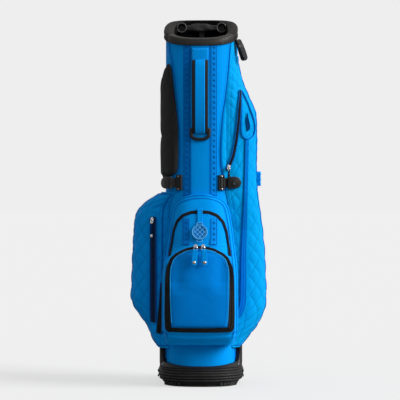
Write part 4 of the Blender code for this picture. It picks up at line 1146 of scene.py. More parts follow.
# ---- sliders, pulls and badge -------------------------------------------------------------------
def wire(piece, points, radius, mark=0, closed=False, steps=8):
    """A round wire along a line of points in space."""
    points = np.asarray(points, float)
    tangents = along(points, closed)
    ref = np.array([0.21, 0.13, 0.97]) if abs(tangents[0][2]) < 0.8 else np.array([0.97, 0.13, 0.21])
    normals, normal = [], ref
    for tangent in tangents:
        normal = unit(normal - tangent * np.dot(normal, tangent))
        normals.append(normal)
    swept(piece, points, np.array(normals), round_section(radius, 0.0, steps), mark, closed)


def arc_points(centre, across, up, radius_a, radius_b, start, end, count=24):
    """Points of an oval arc between two angles in degrees."""
    turn = np.radians(np.linspace(start, end, count))[:, None]
    return centre + across * radius_a * np.cos(turn) + up * radius_b * np.sin(turn)


def hoop(centre, across, up, radius_a, radius_b, count):
    """Points of a closed oval."""
    return arc_points(centre, across, up, radius_a, radius_b, 0, 360, count + 1)[:-1]


def middle_of(node):
    """Centre and size of a node's box."""
    low, high = (np.array(corner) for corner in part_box(node))
    return (low + high) / 2, high - low


def make_ball_pulls():
    """Two nickel sliders that meet at the top of the arch, and the riveted tabs that hang from them."""
    for name in ("left", "right"):
        centre, _ = middle_of("ball_slider_" + name)
        tab_centre, tab = middle_of("ball_pull_" + name)
        low, high = tab_centre[2] - tab[2] / 2, tab_centre[2] + tab[2] / 2
        hinge = np.array([centre[0], tab_centre[1], high - 0.0020])
        piece = Piece()
        body = rounded_block((0.0096, 0.0034, 0.0078), 0.0010, 2)
        place(piece, body, centre, RIGHT, UP, 0)
        nose = rounded_block((0.0062, 0.0030, 0.0034), 0.0009, 2)
        place(piece, nose, centre + (0.0, 0.0006, 0.0038), RIGHT, UP, 0)
        reach = centre[1] - hinge[1] + 0.0006
        bridge = arc_points(centre + AHEAD * 0.0006, AHEAD, UP, reach + 0.0012, 0.0033, -84, 84, 20)
        wire(piece, bridge, 0.0009)
        piece.make("ball_zip_slider_" + name, ["chrome"], name + "_ball_slider", ["ball_slider_" + name])

        piece = Piece()
        wire(piece, hoop(hinge - UP * 0.0040, RIGHT, UP, 0.0040, 0.0052, 32), 0.0009, 2, closed=True)
        outline_z = refined(low + 0.0002, high - 0.0085, 0.0010, 0.0012)
        half = np.full(outline_z.shape, 0.0066)
        end = np.clip((outline_z - low) / 0.0050, 0.0, 1.0)
        half = half * np.sqrt(np.clip(1.0 - (1.0 - end) ** 2 * 0.75, 0.05, 1.0))
        top = np.clip((high - 0.0085 - outline_z) / 0.005, 0.0, 1.0)
        half = half * (0.62 + 0.38 * top)
        columns = np.linspace(-1.0, 1.0, 17)
        x = half[:, None] * columns
        z = np.broadcast_to(outline_z[:, None], x.shape)
        lean = math.copysign(0.0036, centre[0])
        rim = np.minimum(half[:, None] - np.abs(x), np.minimum(z - low, high - 0.0085 - z))
        x = x + lean * np.clip((high - z) / (high - low), 0.0, 1.0) ** 0.6
        puff = 0.0013 * crown(rim + 0.0002, 0.0016) + 0.0002 * crown(rim, 0.005)
        curl = 0.0007 * ((z - low) / (high - low) - 0.5) ** 2 * 4
        centre_y = tab_centre[1] + 0.0001
        hang = 0.0036 * (high - z) / (high - low)
        front_grid = pile(centre[0] + x, centre_y - hang - puff + curl * 0.3, z)
        back_grid = pile(centre[0] + x, centre_y - hang + puff * 0.85 + curl * 0.3, z)
        slab(piece, front_grid, back_grid, pile(x, z), 0)
        for side in (-0.0046, 0.0046):
            z = np.linspace(low + 0.006, high - 0.011, 12)
            fall = 0.0036 * (high - z) / (high - low)
            stitches(piece, pile(centre[0] + lean * 0.85 + side, centre_y - 0.0014 - fall, z), AHEAD)
        rivet = np.array([centre[0] + lean * 0.93, centre_y - 0.0042, low + 0.0072])
        head = [(0.0, 0.0034), (0.0006, 0.0036), (0.0013, 0.0030), (0.0017, 0.0014), (0.0018, 0.0002)]
        turned(piece, head, rivet, AHEAD, 3, 28)
        washer = [(0.0, 0.0030), (0.0005, 0.0030), (0.0009, 0.0022)]
        turned(piece, washer, rivet - AHEAD * 0.0026, -AHEAD, 3, 24)
        piece.make("ball_zip_pull_" + name, ["blue", "thread", "chrome", "brass"], name + "_ball_pull",
                   ["ball_pull_" + name], 50)


def make_badge():
    """A sewn strap over the upper zip with a round pressed badge at its end, between two small frames."""
    centre, size = middle_of("badge_strap")
    low, high = centre[2] - size[2] / 2, centre[2] + size[2] / 2
    heights = refined(low, high, 0.0012, 0.0010)
    back = front(np.zeros_like(heights), heights)[:, 1] - 0.0044
    x = 0.0061 * np.linspace(-1.0, 1.0, 15)[None, :] + 0 * heights[:, None]
    z = np.broadcast_to(heights[:, None], x.shape)
    rim = np.minimum(0.0061 - np.abs(x), np.minimum(z - low, high - z))
    puff = 0.0006 + 0.0013 * crown(rim, 0.0012)
    piece = Piece()
    slab(piece, pile(x, back[:, None] - puff, z), pile(x, back[:, None] + 0 * x, z),
         pile(x, z))
    for side in (-1, 1):
        line = pile(np.full_like(heights, side * 0.0046), back - 0.0020, heights)[4:-4]
        stitches(piece, line, AHEAD)
    cross = pile(np.linspace(-0.005, 0.005, 6), np.interp(high - 0.005, heights, back) - 0.0020, high - 0.005)
    stitches(piece, cross, AHEAD)
    piece.make("badge_tab", ["blue", "thread"], "badge", ["badge_strap"])

    axis = unit(np.array([0.0, -1.0, 0.32]))
    centre = middle_of("badge_medallion")[0] - axis * 0.0014
    up = unit(np.array([0.0, 0.32, 1.0]))
    side = RIGHT
    piece = Piece()
    turned(piece, [(0.0, 0.0176), (0.0008, 0.0187), (0.0020, 0.0187), (0.0026, 0.0178), (0.0024, 0.0166),
                   (0.0019, 0.0158), (0.0019, 0.0006)], centre, axis, 0, 64)
    wire(piece, hoop(centre + axis * 0.0026, side, up, 0.0172, 0.0172, 72), 0.0012, 1, closed=True)
    wire(piece, hoop(centre + axis * 0.0021, side, up, 0.0142, 0.0142, 60), 0.0005, 1, closed=True)
    for k in (-1, 0, 1):
        offset = k * 0.0078
        reach = math.sqrt(max(0.0, 0.0136**2 - offset**2))
        for slant in (-1, 1):
            run = unit(side + slant * up)
            cross = unit(side - slant * up)
            line = [centre + axis * 0.0022 + run * t + cross * offset for t in np.linspace(-reach, reach, 5)]
            wire(piece, line, 0.0009, 1, steps=6)
    for end in (-1, 1):
        frame_centre = centre + axis * 0.0012 + up * end * 0.0203
        path = smooth_line(box_path(0.0064, -0.0026, 0.0026), 0.0006, 0.0008, closed=True)
        loop = frame_centre + side * path[:, :1] + up * path[:, 1:]
        wire(piece, loop, 0.0009, 1, closed=True)
    piece.make("badge_disc", ["badge", "badge_line"], "badge", ["badge_medallion"], 55)


# ---- side pockets -------------------------------------------------------------------------------
def quilt(across, up):
    """Cushion height, 0 at the sewn lines and 1 in the middle of each diamond."""
    a = across / QUILT_WIDTH + up / QUILT_HEIGHT
    b = across / QUILT_WIDTH - up / QUILT_HEIGHT
    return np.sqrt(np.abs(np.sin(math.pi * a) * np.sin(math.pi * b)))


def side_heights(table, step):
    """Heights of a side pocket's rows, closer at its ends."""
    low, high = table[0][0], table[-1][0]
    middle = np.linspace(low + 0.001, high - 0.001, int((high - low) / step))
    return np.concatenate([[low, low + 0.0004], middle, [high - 0.0004, high]])


def near_line(x, z, path, reach):
    """1 on a front (x, z) path, falling to 0 at `reach` from it."""
    path = smooth_line(path, 0.003, 0.004)
    gap = np.full(x.shape, 1.0)
    for px, pz in path:
        gap = np.minimum(gap, np.hypot(x - px, z - pz))
    return np.clip(1.0 - gap / reach, 0.0, 1.0)


def make_side_pocket(name, node, sign, table, columns, step, flat_by):
    """A quilted pocket: the fabric swells between its sewn diamonds and sags a little at its foot."""
    surface = side_at(sign, table)
    heights = side_heights(table, step)
    u = 0.5 - 0.5 * np.cos(np.linspace(0.0, math.pi, columns))
    z = np.broadcast_to(heights[:, None], (len(heights), columns))
    outer = surface(u + 0 * z, z)
    normal = facing(surface, np.clip(u + 0 * z, 0.002, 0.998), z)
    start = side_start(z, sign)
    turn = start + (SIDE_REAR - start) * u[None, :]
    x, y = oval(turn, 0.0006)
    inner = pile(sign * x, y, z)
    steps = np.linalg.norm(np.diff(outer, axis=1), axis=-1)
    run = np.concatenate([np.zeros((len(heights), 1)), np.cumsum(steps, axis=1)], 1)
    across = run[:, -1:] - run
    rise = running(outer[:, columns // 2])[:, None] * 0.35 + (z - z[0]) * 0.65
    edge = np.minimum(np.minimum(run, across), np.minimum(z - heights[0], heights[-1] - z) * 1.6)
    seam = crown(np.abs(edge - 0.009), 0.004)
    puff = QUILT_PUFF * (quilt(across, rise) - 0.45) * fade(edge, 0.0, 0.016)
    puff = puff - 0.0009 * (1.0 - seam) * fade(edge, 0.0, 0.006)
    puff = puff + 0.0016 * swell(outer, 0.05, 3 + columns) * fade(edge, 0.0, 0.03)
    ahead = np.clip((0.62 - u[None, :]) / 0.08, 0.0, 1.0)
    for path, reach in flat_by:
        calm = np.clip(near_line(outer[..., 0], z, path, reach) * 2.2, 0.0, 1.0) * ahead
        puff = puff * (1.0 - calm) - 0.0008 * calm
    room = np.linalg.norm(outer - inner, axis=-1)
    puff = np.maximum(puff, -0.6 * room)
    outer = outer + normal * puff[..., None]
    piece = Piece()
    slab(piece, outer, inner, pile(across, rise))
    # The right pocket takes the lit copy of the quilted look, its colour painted for the key light.
    look = "quilted" if sign < 0 else "quilted_painted_lit"
    pocket = piece.make(name, [look], stands_for=[node], sharp=60)

    piece = Piece()
    # The right pocket has no cord down its front edge or along its top, and its middle cord stops short.
    lines = [(0.988, 0.0006, 2.0), (0.012, 0.0004, 2.0), (0.40, 0.0004, 2.0)]
    if sign > 0:
        lines = [(0.988, 0.0006, 2.0), (0.40, 0.0004, 0.800)]
    for share, grow, below in lines:
        column = np.argmin(np.abs(u - share))
        rows = np.flatnonzero(heights < below)[4:-4]
        pipe(piece, (outer[rows, column], normal[rows, column]), 0.0015, grow)
    middle, spread = columns // 2, int(columns * 0.38)
    part = slice(middle - spread, middle + spread)
    for row in ((4, len(heights) - 5) if sign < 0 else (4,)):
        pipe(piece, (outer[row, part], normal[row, part]), 0.0016, 0.0006)
    piece.make(name + "_cording", ["cord"])


def zip_on(name, face, path, width, lift, tape, cover, coils="teeth"):
    """A corded zip along a front (x, z) path on a face."""
    piece = Piece()
    zip_run(piece, *line_on(face, path, 0.0016, 0.006), width, lift, cover=cover)
    piece.make(name + "_zipper", [tape, coils, "cord"], stands_for=[name + "_zip"])


def make_side_pockets():
    """The two quilted side pockets with their zips, the right one's folded welt, placket and gusset."""
    left_zip = [(LEFT_ZIP_X, 0.150), (LEFT_ZIP_X, 0.402)]
    make_side_pocket("left_pocket_quilted", "left_pocket", -1, LEFT_REACH, 141, 0.0021, [(left_zip, 0.016)])
    make_side_pocket("right_pocket_quilted", "right_pocket", 1, RIGHT_REACH, 131, 0.0023,
                     [(RIGHT_ZIP, 0.015), (BAND, 0.018), (TEARDROP + TEARDROP[:1], 0.012)])
    left, right = side_face(-1, LEFT_REACH), side_face(1, RIGHT_REACH)
    zip_on("left_pocket", left, [(LEFT_ZIP_X, z) for z in (0.150, 0.280, 0.402)], 0.0140, 0.0014, "navy_tape",
           0.0022, "navy_teeth")
    zip_on("right_pocket", right, RIGHT_ZIP, 0.0062, 0.0016, "tape", 0.0020)

    piece = Piece()
    pipe(piece, line_on(right, TEARDROP, 0.0016, 0.010, closed=True), 0.0016, 0.0016, 0, True, 10)
    inner = [(0.1115 + (x - 0.1115) * 0.80, 0.640 + (z - 0.640) * 0.86) for x, z in TEARDROP]
    sew(piece, line_on(right, inner, 0.0016, 0.010, closed=True), 0.0022)
    # Painted shadow: a dark wedge inset where the shade gap under the flap's fold falls.
    wedge = [(0.1105, 0.6520), (0.1175, 0.6200), (0.1165, 0.6100), (0.1110, 0.6060), (0.1090, 0.6250)]
    path = smooth_line(wedge, 0.001, 0.002, closed=True)
    middle = path.mean(axis=0)
    rings = []
    for share, lift in ((1.0, 0.0008), (1.0, 0.0022), (0.80, 0.0018), (0.45, 0.0016), (0.1, 0.0016)):
        spot = middle + (path - middle) * share
        rings.append(right(spot[:, 0], spot[:, 1]) + facing(right, spot[:, 0], spot[:, 1]) * lift)
    loft(piece, np.array(rings), mark=2)
    piece.make("right_pocket_fold", ["cord", "thread", "inside"])

    piece = Piece()
    points, normals = line_on(right, BAND, 0.002, 0.012)
    section = [(-0.0058, 0.0004), (0.0058, 0.0004), (0.0058, 0.0022), (0.0052, 0.0028), (0.0030, 0.0024),
               (0.0006, 0.0031), (0.0, 0.0016), (-0.0006, 0.0031), (-0.0030, 0.0024), (-0.0052, 0.0028),
               (-0.0058, 0.0022)]
    widths = 0.62 + 0.38 * np.clip((0.44 - points[:, 2]) / 0.20, 0.0, 1.0)
    swept(piece, points, normals, section, 0, widths=widths)
    across = unit(np.cross(normals, along(points))) * widths[:, None]
    for side in (-1, 1):
        swept(piece, points + across * side * 0.0062, normals, round_section(0.0012, 0.0018), 1)
        stitches(piece, points + across * side * 0.0042 + normals * 0.0026, normals, 2)
    piece.make("right_pocket_placket", ["band_blue", "cord", "thread"])

    seam = [(x + 0.0022, z) for x, z in RIGHT_SEAM]
    heights = np.linspace(0.4680, 0.8120, 170)
    edges = np.array([(z, arc_at_x(x)) for x, z in seam])[::-1]
    left_edge = blurred(edges, heights, 0.012)
    right_edge = arc_at(side_start(heights)) + 0.004
    piece = Piece()
    run_right = right_edge[:, None]

    def cushion(u, v, rim):
        return QUILT_PUFF * 0.8 * quilt(run_right - u, v) * fade(rim, 0.0, 0.008)

    panel(piece, skin, heights, left_edge, right_edge, -0.0010, 0.0008, 0.003, 34, relief=cushion)
    # The gusset also takes the lit copy of the quilted look, painted light.
    gusset = piece.make("right_quilted_gusset", ["quilted_painted_lit"], sharp=60)


def make_side_pulls():
    """The side zips' sliders, one with a long metal pull and one with a knotted cord."""
    for name, sign, table, spot in (
        ("left", -1, LEFT_REACH, (LEFT_ZIP_X, 0.394)), ("right", 1, RIGHT_REACH, (0.0668, 0.5190)),
    ):
        normal = facing(side_face(sign, table), *np.array(spot))
        out = unit(normal * (1.0, 1.0, 0.0))
        side = np.array([-out[1], out[0], 0.0])
        centre, _ = middle_of(name + "_slider")
        body, hinge = centre - out * 0.0004, centre + out * 0.0042
        piece = Piece()
        place(piece, rounded_block((0.0112, 0.0076, 0.0030), 0.0012, 2), body, UP, out)
        place(piece, rounded_block((0.0050, 0.0050, 0.0032), 0.0010, 2), body + UP * 0.0048, UP, out)
        wire(piece, arc_points(centre, out, UP, 0.0052, 0.0040, -80, 80, 18), 0.0009)
        piece.make(name + "_zip_slider_body", ["chrome"], name + "_zip_slider", [name + "_slider"])

        piece = Piece()
        wire(piece, hoop(hinge - UP * 0.0030, side, UP, 0.0026, 0.0034, 24), 0.0007, 0, closed=True)
        if name == "left":
            place(piece, rounded_block((0.0290, 0.0048, 0.0018), 0.0008, 2), hinge - UP * 0.0195, UP, out, 1)
            place(piece, rounded_block((0.0070, 0.0060, 0.0026), 0.0010, 2), hinge - UP * 0.0372, UP, out)
            place(piece, rounded_block((0.0040, 0.0056, 0.0024), 0.0008, 2), hinge - UP * 0.0062, UP, out)
            wanted, slot = ["chrome", "inside"], "zip_metal"
        else:
            drop = np.linspace(0.0052, 0.0150, 12)[:, None]
            for shift in (-0.0012, 0.0012):
                spread = shift * np.sin(np.minimum(1.0, drop / 0.006) * 1.57)
                wire(piece, hinge - UP * drop + side * spread + out * 0.0004 * np.sin(drop * 300), 0.0011, 1)
            knot = [(0.0, 0.0014), (0.0010, 0.0026), (0.0035, 0.0030), (0.0062, 0.0027), (0.0075, 0.0014)]
            turned(piece, knot, hinge - UP * 0.0138, -UP, 1, 20)
            wanted, slot = ["chrome", "binding"], "black_webbing"
        piece.make(name + "_zip_pull_tab", wanted, name + "_zip_pull", [name + "_pull"], 50)


# ---- shoulder pad and clips ---------------------------------------------------------------------

def pad_edges(heights):
    """Distances round the tube of the pad's rear and front edges."""
    rear = -blurred(PAD_REAR, heights, 0.006) + 0.0130 * np.exp(-((heights - FOLD_Z) / 0.0038) ** 4)
    near = -arc_at_x(blurred(PAD_FRONT, heights, 0.004))
    return np.minimum(rear, near - 0.0030), near


def inflate(obj, voxel, pressure, cap, frames=20):
    """Swells a closed soft piece as cloth under pressure, no point moving further than the cap."""
    scene = bpy.context.scene
    bpy.context.view_layer.objects.active = obj
    remesh = obj.modifiers.new("remesh", "REMESH")
    remesh.mode = "VOXEL"
    remesh.voxel_size = voxel
    remesh.use_smooth_shade = True
    apply_modifier(obj, remesh)
    count = len(obj.data.vertices)
    before = np.empty(count * 3)
    obj.data.vertices.foreach_get("co", before)
    cloth_modifier = obj.modifiers.new("cloth", "CLOTH")
    settings = cloth_modifier.settings
    settings.quality = 6
    settings.mass = 0.2
    settings.use_pressure = True
    settings.uniform_pressure_force = pressure
    settings.tension_stiffness = 20
    settings.compression_stiffness = 20
    settings.shear_stiffness = 10
    settings.bending_stiffness = 2.0
    settings.effector_weights.gravity = 0.0
    cloth_modifier.collision_settings.use_collision = False
    for number in range(1, frames + 1):
        scene.frame_set(number)
    shown = obj.evaluated_get(bpy.context.evaluated_depsgraph_get())
    after = np.empty(count * 3)
    shown.data.vertices.foreach_get("co", after)
    obj.modifiers.remove(cloth_modifier)
    scene.frame_set(1)
    move = (after - before).reshape(-1, 3)
    length = np.linalg.norm(move, axis=1, keepdims=True)
    move = move * np.minimum(1.0, cap / np.maximum(length, 1e-9))
    obj.data.vertices.foreach_set("co", before + move.ravel())
    obj.data.update()
    smooth = obj.modifiers.new("smooth", "SUBSURF")
    smooth.levels = smooth.render_levels = 1
    apply_modifier(obj, smooth)
    obj.data.shade_smooth()


def apply_modifier(obj, modifier):
    """Replaces the object's mesh with its modified shape."""
    shown = obj.evaluated_get(bpy.context.evaluated_depsgraph_get())
    made = bpy.data.meshes.new_from_object(shown)
    obj.modifiers.remove(modifier)
    obj.data = made


def make_shoulder_pad():
    """A padded strap of spacer mesh down the front left corner, creased and notched where it folds."""
    heights = np.concatenate([refined(0.4740, 0.5900, 0.0026, 0.0014), np.linspace(0.5908, 0.6022, 14),
                              refined(0.6030, 0.7680, 0.0026, 0.0014)])
    rear, near = pad_edges(heights)

    def padding(u, v, rim):
        puff = 0.0012 * crown(rim, 0.014)
        crease = 0.0006 * swell(pile(u, v, 0 * u) * (1.0, 0.8, 1.0), 0.012, 17)
        channel = -0.0011 * np.exp(-((rim - 0.0075) / 0.0011) ** 2)
        fold = -0.0016 * np.exp(-((v - FOLD_Z) / 0.0020) ** 2)
        tucked = -0.0046 * (1.0 - fade(v, 0.4990, 0.007))
        return puff + tucked + (crease + channel + fold) * fade(rim, 0.0, 0.004)

    piece = Piece()
    panel(piece, skin, heights, rear, near, 0.0037, 0.0098, 0.0045, 44, relief=padding)
    pad = piece.make("shoulder_pad_padded", ["mesh"], stands_for=["shoulder_pad"])
    inflate(pad, 0.0030, 2.5, 0.0020)

    piece = Piece()
    rows = heights[heights > 0.5055][:-6:2]
    left, right = pad_edges(rows)
    inset = 0.0018
    path = np.concatenate([pile(left + inset, rows), pile(right - inset, rows)[::-1]])
    points, normals = line_on(skin, path, 0.0022, 0.003, closed=True)
    swept(piece, points + normals * 0.0068, normals, [(-0.0016, -0.0034), (0.0016, -0.0034), (0.0019, 0.0),
          (0.0012, 0.0022), (-0.0012, 0.0022), (-0.0019, 0.0)], 0, closed=True)
    path = np.concatenate([pile(left + 0.0085, rows), pile(right - 0.0085, rows)[::-1]])
    sew(piece, line_on(skin, path[3:-3], 0.0022, 0.004, closed=True), 0.0104)
    piece.make("shoulder_pad_binding", ["binding", "grey_thread"])


def rounded_tab(start, end, middle, half, taper, step=0.0011):
    """Outer and inner grids of a tab with one square end and one round end."""
    count = max(12, int(abs(end - start) / step))
    share = np.concatenate([[0.0, 0.01], np.linspace(0.03, 0.985, count), [0.995, 1.0]])
    u = start + (end - start) * share
    radius = taper / abs(end - start)
    reach = np.clip((share - (1.0 - radius)) / radius, 0.0, 1.0)
    width = half * np.sqrt(np.clip(1.0 - reach**2, 0.0004, 1.0))
    columns = np.linspace(-1.0, 1.0, 27)
    v = middle + width[:, None] * columns
    u = np.broadcast_to(u[:, None], v.shape)
    rim = np.minimum(width[:, None] * (1.0 - np.abs(columns)), np.abs(u - start))
    round_rim = half - np.hypot(reach[:, None] * half, v - middle)
    rim = np.minimum(rim, np.where(reach[:, None] > 0.0, round_rim, 1.0))
    return u, v, np.clip(rim, 0.0, None)


def make_clips():
    """On each side an upright buckle bar and a rounded tab with a snap, held together by webbing."""
    pocket = side_face(1, RIGHT_REACH)
    for name, sign, surface, start, end, low, high, taper, snap in (
        ("left", -1, skin, arc_at(-0.062 / 0.09), arc_at(-0.112 / 0.09), 0.0108, 0.0150, 0.030, 0.48),
        ("right", 1, pocket, 0.0650, 0.0955, 0.0030, 0.0070, 0.0140, 0.52),
    ):
        inner, outer = arc_at(sign * 0.0371 / 0.09), arc_at(sign * 0.0553 / 0.09)
        piece = Piece()
        heights = refined(CLIP_Z - 0.0182, CLIP_Z + 0.0182, 0.0012, 0.0012)

        def slots(u, v, rim, inner=inner, outer=outer):
            across = np.abs(u - (inner + outer) / 2)
            groove = np.exp(-((across - 0.0040) / 0.0008) ** 2) * (np.abs(v - CLIP_Z) < 0.0140)
            return -0.0016 * groove + 0.0006 * crown(rim, 0.004)

        panel(piece, skin, heights, min(inner, outer), max(inner, outer), 0.0006, 0.0056, 0.0020, 22,
              relief=slots)
        for end_z in (-0.0150, 0.0150):
            spot = np.array([(inner + outer) / 2, CLIP_Z + end_z])
            axis = facing(skin, *spot)
            turned(piece, [(0.0, 0.0016), (0.0007, 0.0015), (0.0010, 0.0008)], skin(*spot) + axis * 0.0058,
                   axis, 1, 18)
        piece.make(name + "_clip_buckle", ["plastic", "steel"], stands_for=[name + "_clip_bar"])

        piece = Piece()
        u, v, rim = rounded_tab(start, end, CLIP_Z, 0.0143, taper)
        base, normal = surface(u, v), facing(surface, u, v)
        rim = np.minimum(rim, 0.0143 - np.abs(v - CLIP_Z))
        face = high - 0.0022 * (1.0 - crown(rim, 0.0026)) + 0.0004 * crown(rim, 0.010)
        face = face - 0.0006 * np.exp(-((rim - 0.0038) / 0.0006) ** 2)
        slab(piece, base + normal * face[..., None], base + normal * low, pile(u, v))
        far = np.array([start + (end - start) * snap, CLIP_Z])
        centre, axis = surface(*far), facing(surface, *far)
        if name == "left":
            cap = [(-0.0006, 0.0062), (0.0009, 0.0062), (0.0013, 0.0054), (0.0009, 0.0044),
                   (0.0007, 0.0030), (0.0010, 0.0018), (0.0010, 0.0003)]
            turned(piece, cap, centre + axis * high, axis, 1, 36)
        across = np.linspace(CLIP_Z - 0.0115, CLIP_Z + 0.0115, 12)
        for share in (0.07, 0.12):
            u = np.full(12, start + (end - start) * share)
            sew(piece, (surface(u, across), facing(surface, u, across)), high + 0.0004, 2)
        piece.make(name + "_clip_tab_moulded", ["plastic", "snap", "grey_thread"], name + "_clip",
                   [name + "_clip_tab"], 40)
        if name == "right":
            piece = Piece()
            cap = [(-0.0010, 0.0056), (0.0012, 0.0060), (0.0021, 0.0054), (0.0023, 0.0046),
                   (0.0019, 0.0040), (0.0017, 0.0022), (0.0021, 0.0014), (0.0021, 0.0002)]
            turned(piece, cap, centre + axis * 0.0078, axis, 0, 40)
            piece.make("right_clip_snap", ["snap"], "right_clip", ["right_clip_button"], 40)

        piece = Piece()
        share = np.linspace(0.0, 1.0, 14)
        bridge_to = arc_at(sign * (0.0655 if sign < 0 else 0.0720) / 0.09)
        u = np.linspace(outer - sign * 0.0020, bridge_to, 14)
        lift = 0.0030 + 0.0092 * np.clip(share * 1.4, 0.0, 1.0) ** 0.8 if sign < 0 else np.full(14, 0.0032)
        u, v = np.meshgrid(u, CLIP_Z + 0.0110 * np.linspace(-1.0, 1.0, 15), indexing="ij")
        base, normal = skin(u, v), facing(skin, u, v)
        top = lift[:, None] + 0.0008 * crown(0.0110 - np.abs(v - CLIP_Z), 0.0012)
        under = base + normal * (lift - 0.0007)[:, None, None]
        slab(piece, base + normal * top[..., None], under, pile(v, u))
        piece.make(name + "_clip_webbing", ["webbing"])


def make_cuff_loop():
    """A doubled webbing loop that hangs from under the cuff, with its bound end."""
    top = np.array([0.0895, -0.042, 0.8245])
    line = unit(np.array([0.0185, 0.0, -0.0540]))
    out = unit(np.array([-line[2] * 0.87, -0.50, line[0] * 0.87]))
    across = np.cross(out, line)
    turn = np.linspace(-math.pi / 2, math.pi / 2, 14)
    length, gap = 0.0500, 0.0034
    spread = np.linspace(0.0, length - 0.006, 26)
    widen = gap * (0.62 + 0.38 * np.clip(spread / 0.030, 0.0, 1.0))
    path = list(zip(spread, widen))
    path += [(length - 0.006 + 0.0052 * math.cos(t), -gap * 1.15 * math.sin(t)) for t in turn]
    path += list(zip(spread[::-1], -widen[::-1]))
    path = smooth_line(path, 0.0012, 0.002)
    sway = 0.0012 * np.sin(path[:, 0] / length * math.pi)
    points = top + line * path[:, :1] + out * (path[:, 1:] + sway[:, None])
    normals = unit(np.cross(along(points), across))
    piece = Piece()
    taper = 1.0 - 0.42 * np.clip((path[:, 0] - length + 0.0120) / 0.0115, 0.0, 1.0) ** 2
    swept(piece, points, normals, band_section(0.0215, -0.0013, 0.0013, 0.0006), 0, widths=taper)
    core = rounded_block((0.0340, 0.0196, 0.0054), 0.0018, 2)
    place(piece, core, top + line * 0.0200 + out * 0.0010, line, out, 0)
    keeper = rounded_block((0.0085, 0.0226, 0.0092), 0.0016, 2)
    place(piece, keeper, top + line * 0.0150 + out * 0.0008, line, out, 1)
    place(piece, rounded_block((0.0066, 0.0218, 0.0066), 0.0030, 3), top, line, out, 1)
    for side in (-1, 1):
        edge_line = top + line * np.linspace(0.024, 0.044, 12)[:, None] + across * (side * 0.0085)
        edge_line = edge_line + out * 0.0056
        stitches(piece, edge_line, out, 2)
    piece.make("cuff_loop_webbing", ["webbing", "plastic", "grey_thread"], "cuff_loop", ["strap_loop"])


def make_towel_tab():
    """A doubled loop of blue webbing sewn flat into the right pocket's rear seam."""
    middle, _ = middle_of("towel_tab")
    height, inner, outer = 0.0350, -0.0100, 0.0026
    shares = np.concatenate([[0.0, 0.02, 0.06], np.linspace(0.12, 0.88, 18), [0.94, 0.98, 1.0]])
    rings = []
    for share in shares:
        squeeze = 1.0 - 0.35 * (1.0 - crown(min(share, 1.0 - share) * height, 0.0030))
        bulge = 0.0004 * math.sin(share * 17.0)
        half, tip = 0.0062 * squeeze + bulge, outer * squeeze + bulge
        side = [(inner, half), (tip - 0.0016, half), (tip, half * 0.6)]
        ring = [(x, -y) for x, y in side] + [(tip + 0.0004, 0.0)] + side[::-1]
        rings.append([(middle[0] + x, middle[1] + y, middle[2] + (share - 0.5) * height) for x, y in ring])
    piece = Piece()
    loft(piece, np.array(rings))
    for x in (-0.0030, 0.0004):
        stitches(piece, middle + pile(x, -0.0064, np.linspace(-0.014, 0.014, 14)), AHEAD)
    piece.make("towel_tab_sewn", ["blue", "thread"], stands_for=["towel_tab"])


# ---- cuff and mouth -----------------------------------------------------------------------------
def make_cuff():
    """A padded collar: a tall outer band, a rolled rim that is wide at the sides, and a smooth lip."""
    turn = round_turns(200)
    sunk = 1.0 - 0.22 * np.clip(np.cos(turn), 0.0, 1.0) ** 2

    def level(ring, rise):
        """Lifts a ring to its height above the cuff's foot, along the mouth's slope."""
        return pile(*ring, CUFF_LOW + rise + ring[1] * RISE)

    band = [
        (HALF_WIDTH + 0.0004, 0.0006), (0.0878, 0.0), (0.0886, 0.0012), (0.0889, 0.0040), (0.0888, 0.0090),
        (0.0889, 0.0150), (0.0884, 0.0178), (0.0872, 0.0200), (0.0852, RIM_RISE),
    ]
    rings = []
    for half, rise in band:
        x, y = ring_at(half, half + 0.010, turn, 1.6 * rise / RIM_RISE)
        bulge = 0.0006 * swell(pile(x, y, rise), 0.04, 51)
        grow = 1.0 + bulge / half * (0.002 < rise)
        rings.append(pile(x * grow, y * grow, CUFF_LOW + rise * sunk + y * RISE))
    wide = np.sin(turn) ** 2
    for share in (*np.linspace(0.10, 0.90, 9), 0.96, 1.0):
        half = 0.0852 + (MOUTH_HALF_WIDTH - 0.0852) * share
        deep = 0.0952 + (MOUTH_HALF_DEPTH - 0.0952) * share
        dome = 0.0008 * math.sin(math.pi * share) * wide
        drop = 0.0090 * max(0.0, share - 0.35) ** 1.5 * wide * 1.4
        rings.append(level(ring_at(half, deep, turn, 1.6), RIM_RISE * sunk + dome - drop))
    for half, deep, rise, square in (
        (0.0632, 0.0884, 0.0060, 1.2), (0.0640, 0.0888, -0.0020, 1.2), (0.0680, 0.0896, -0.0080, 1.2),
        (0.0826, 0.0926, -0.0080, 0.0), (0.0826, 0.0926, -0.0010, 0.0),
    ):
        rings.append(level(ring_at(half, deep, turn, square), rise))
    piece = Piece()
    loft(piece, np.array(rings), closed=True)
    for number in range(len(piece.faces)):
        row, column = divmod(number, len(turn))
        if math.cos(turn[column]) > 0.55 and 2 <= row <= 16:
            piece.marks[number] = 1
        if row >= len(band) + 9:
            piece.marks[number] = 2
    for rise in (0.0022, 0.0172):
        line = level(ring_at(0.0890, 0.0990, turn, 1.6 * rise / RIM_RISE), rise * sunk)
        ups = unit(line * (1.0, 1.0, 0.0))
        pipe(piece, (line - ups * 0.0002, ups), 0.0007, 0.0, 3, closed=True)
    line = level(ring_at(0.0892, 0.0992, turn, 0.32), 0.0042 * sunk)
    loop = np.concatenate([line, line[:1]])
    stitches(piece, loop, unit(loop * (1.0, 1.0, 0.0)), 4)
    piece.make("cuff_padded", ["leather", "lip", "lining", "plastic", "grey_thread"], stands_for=["cuff"],
               sharp=55)


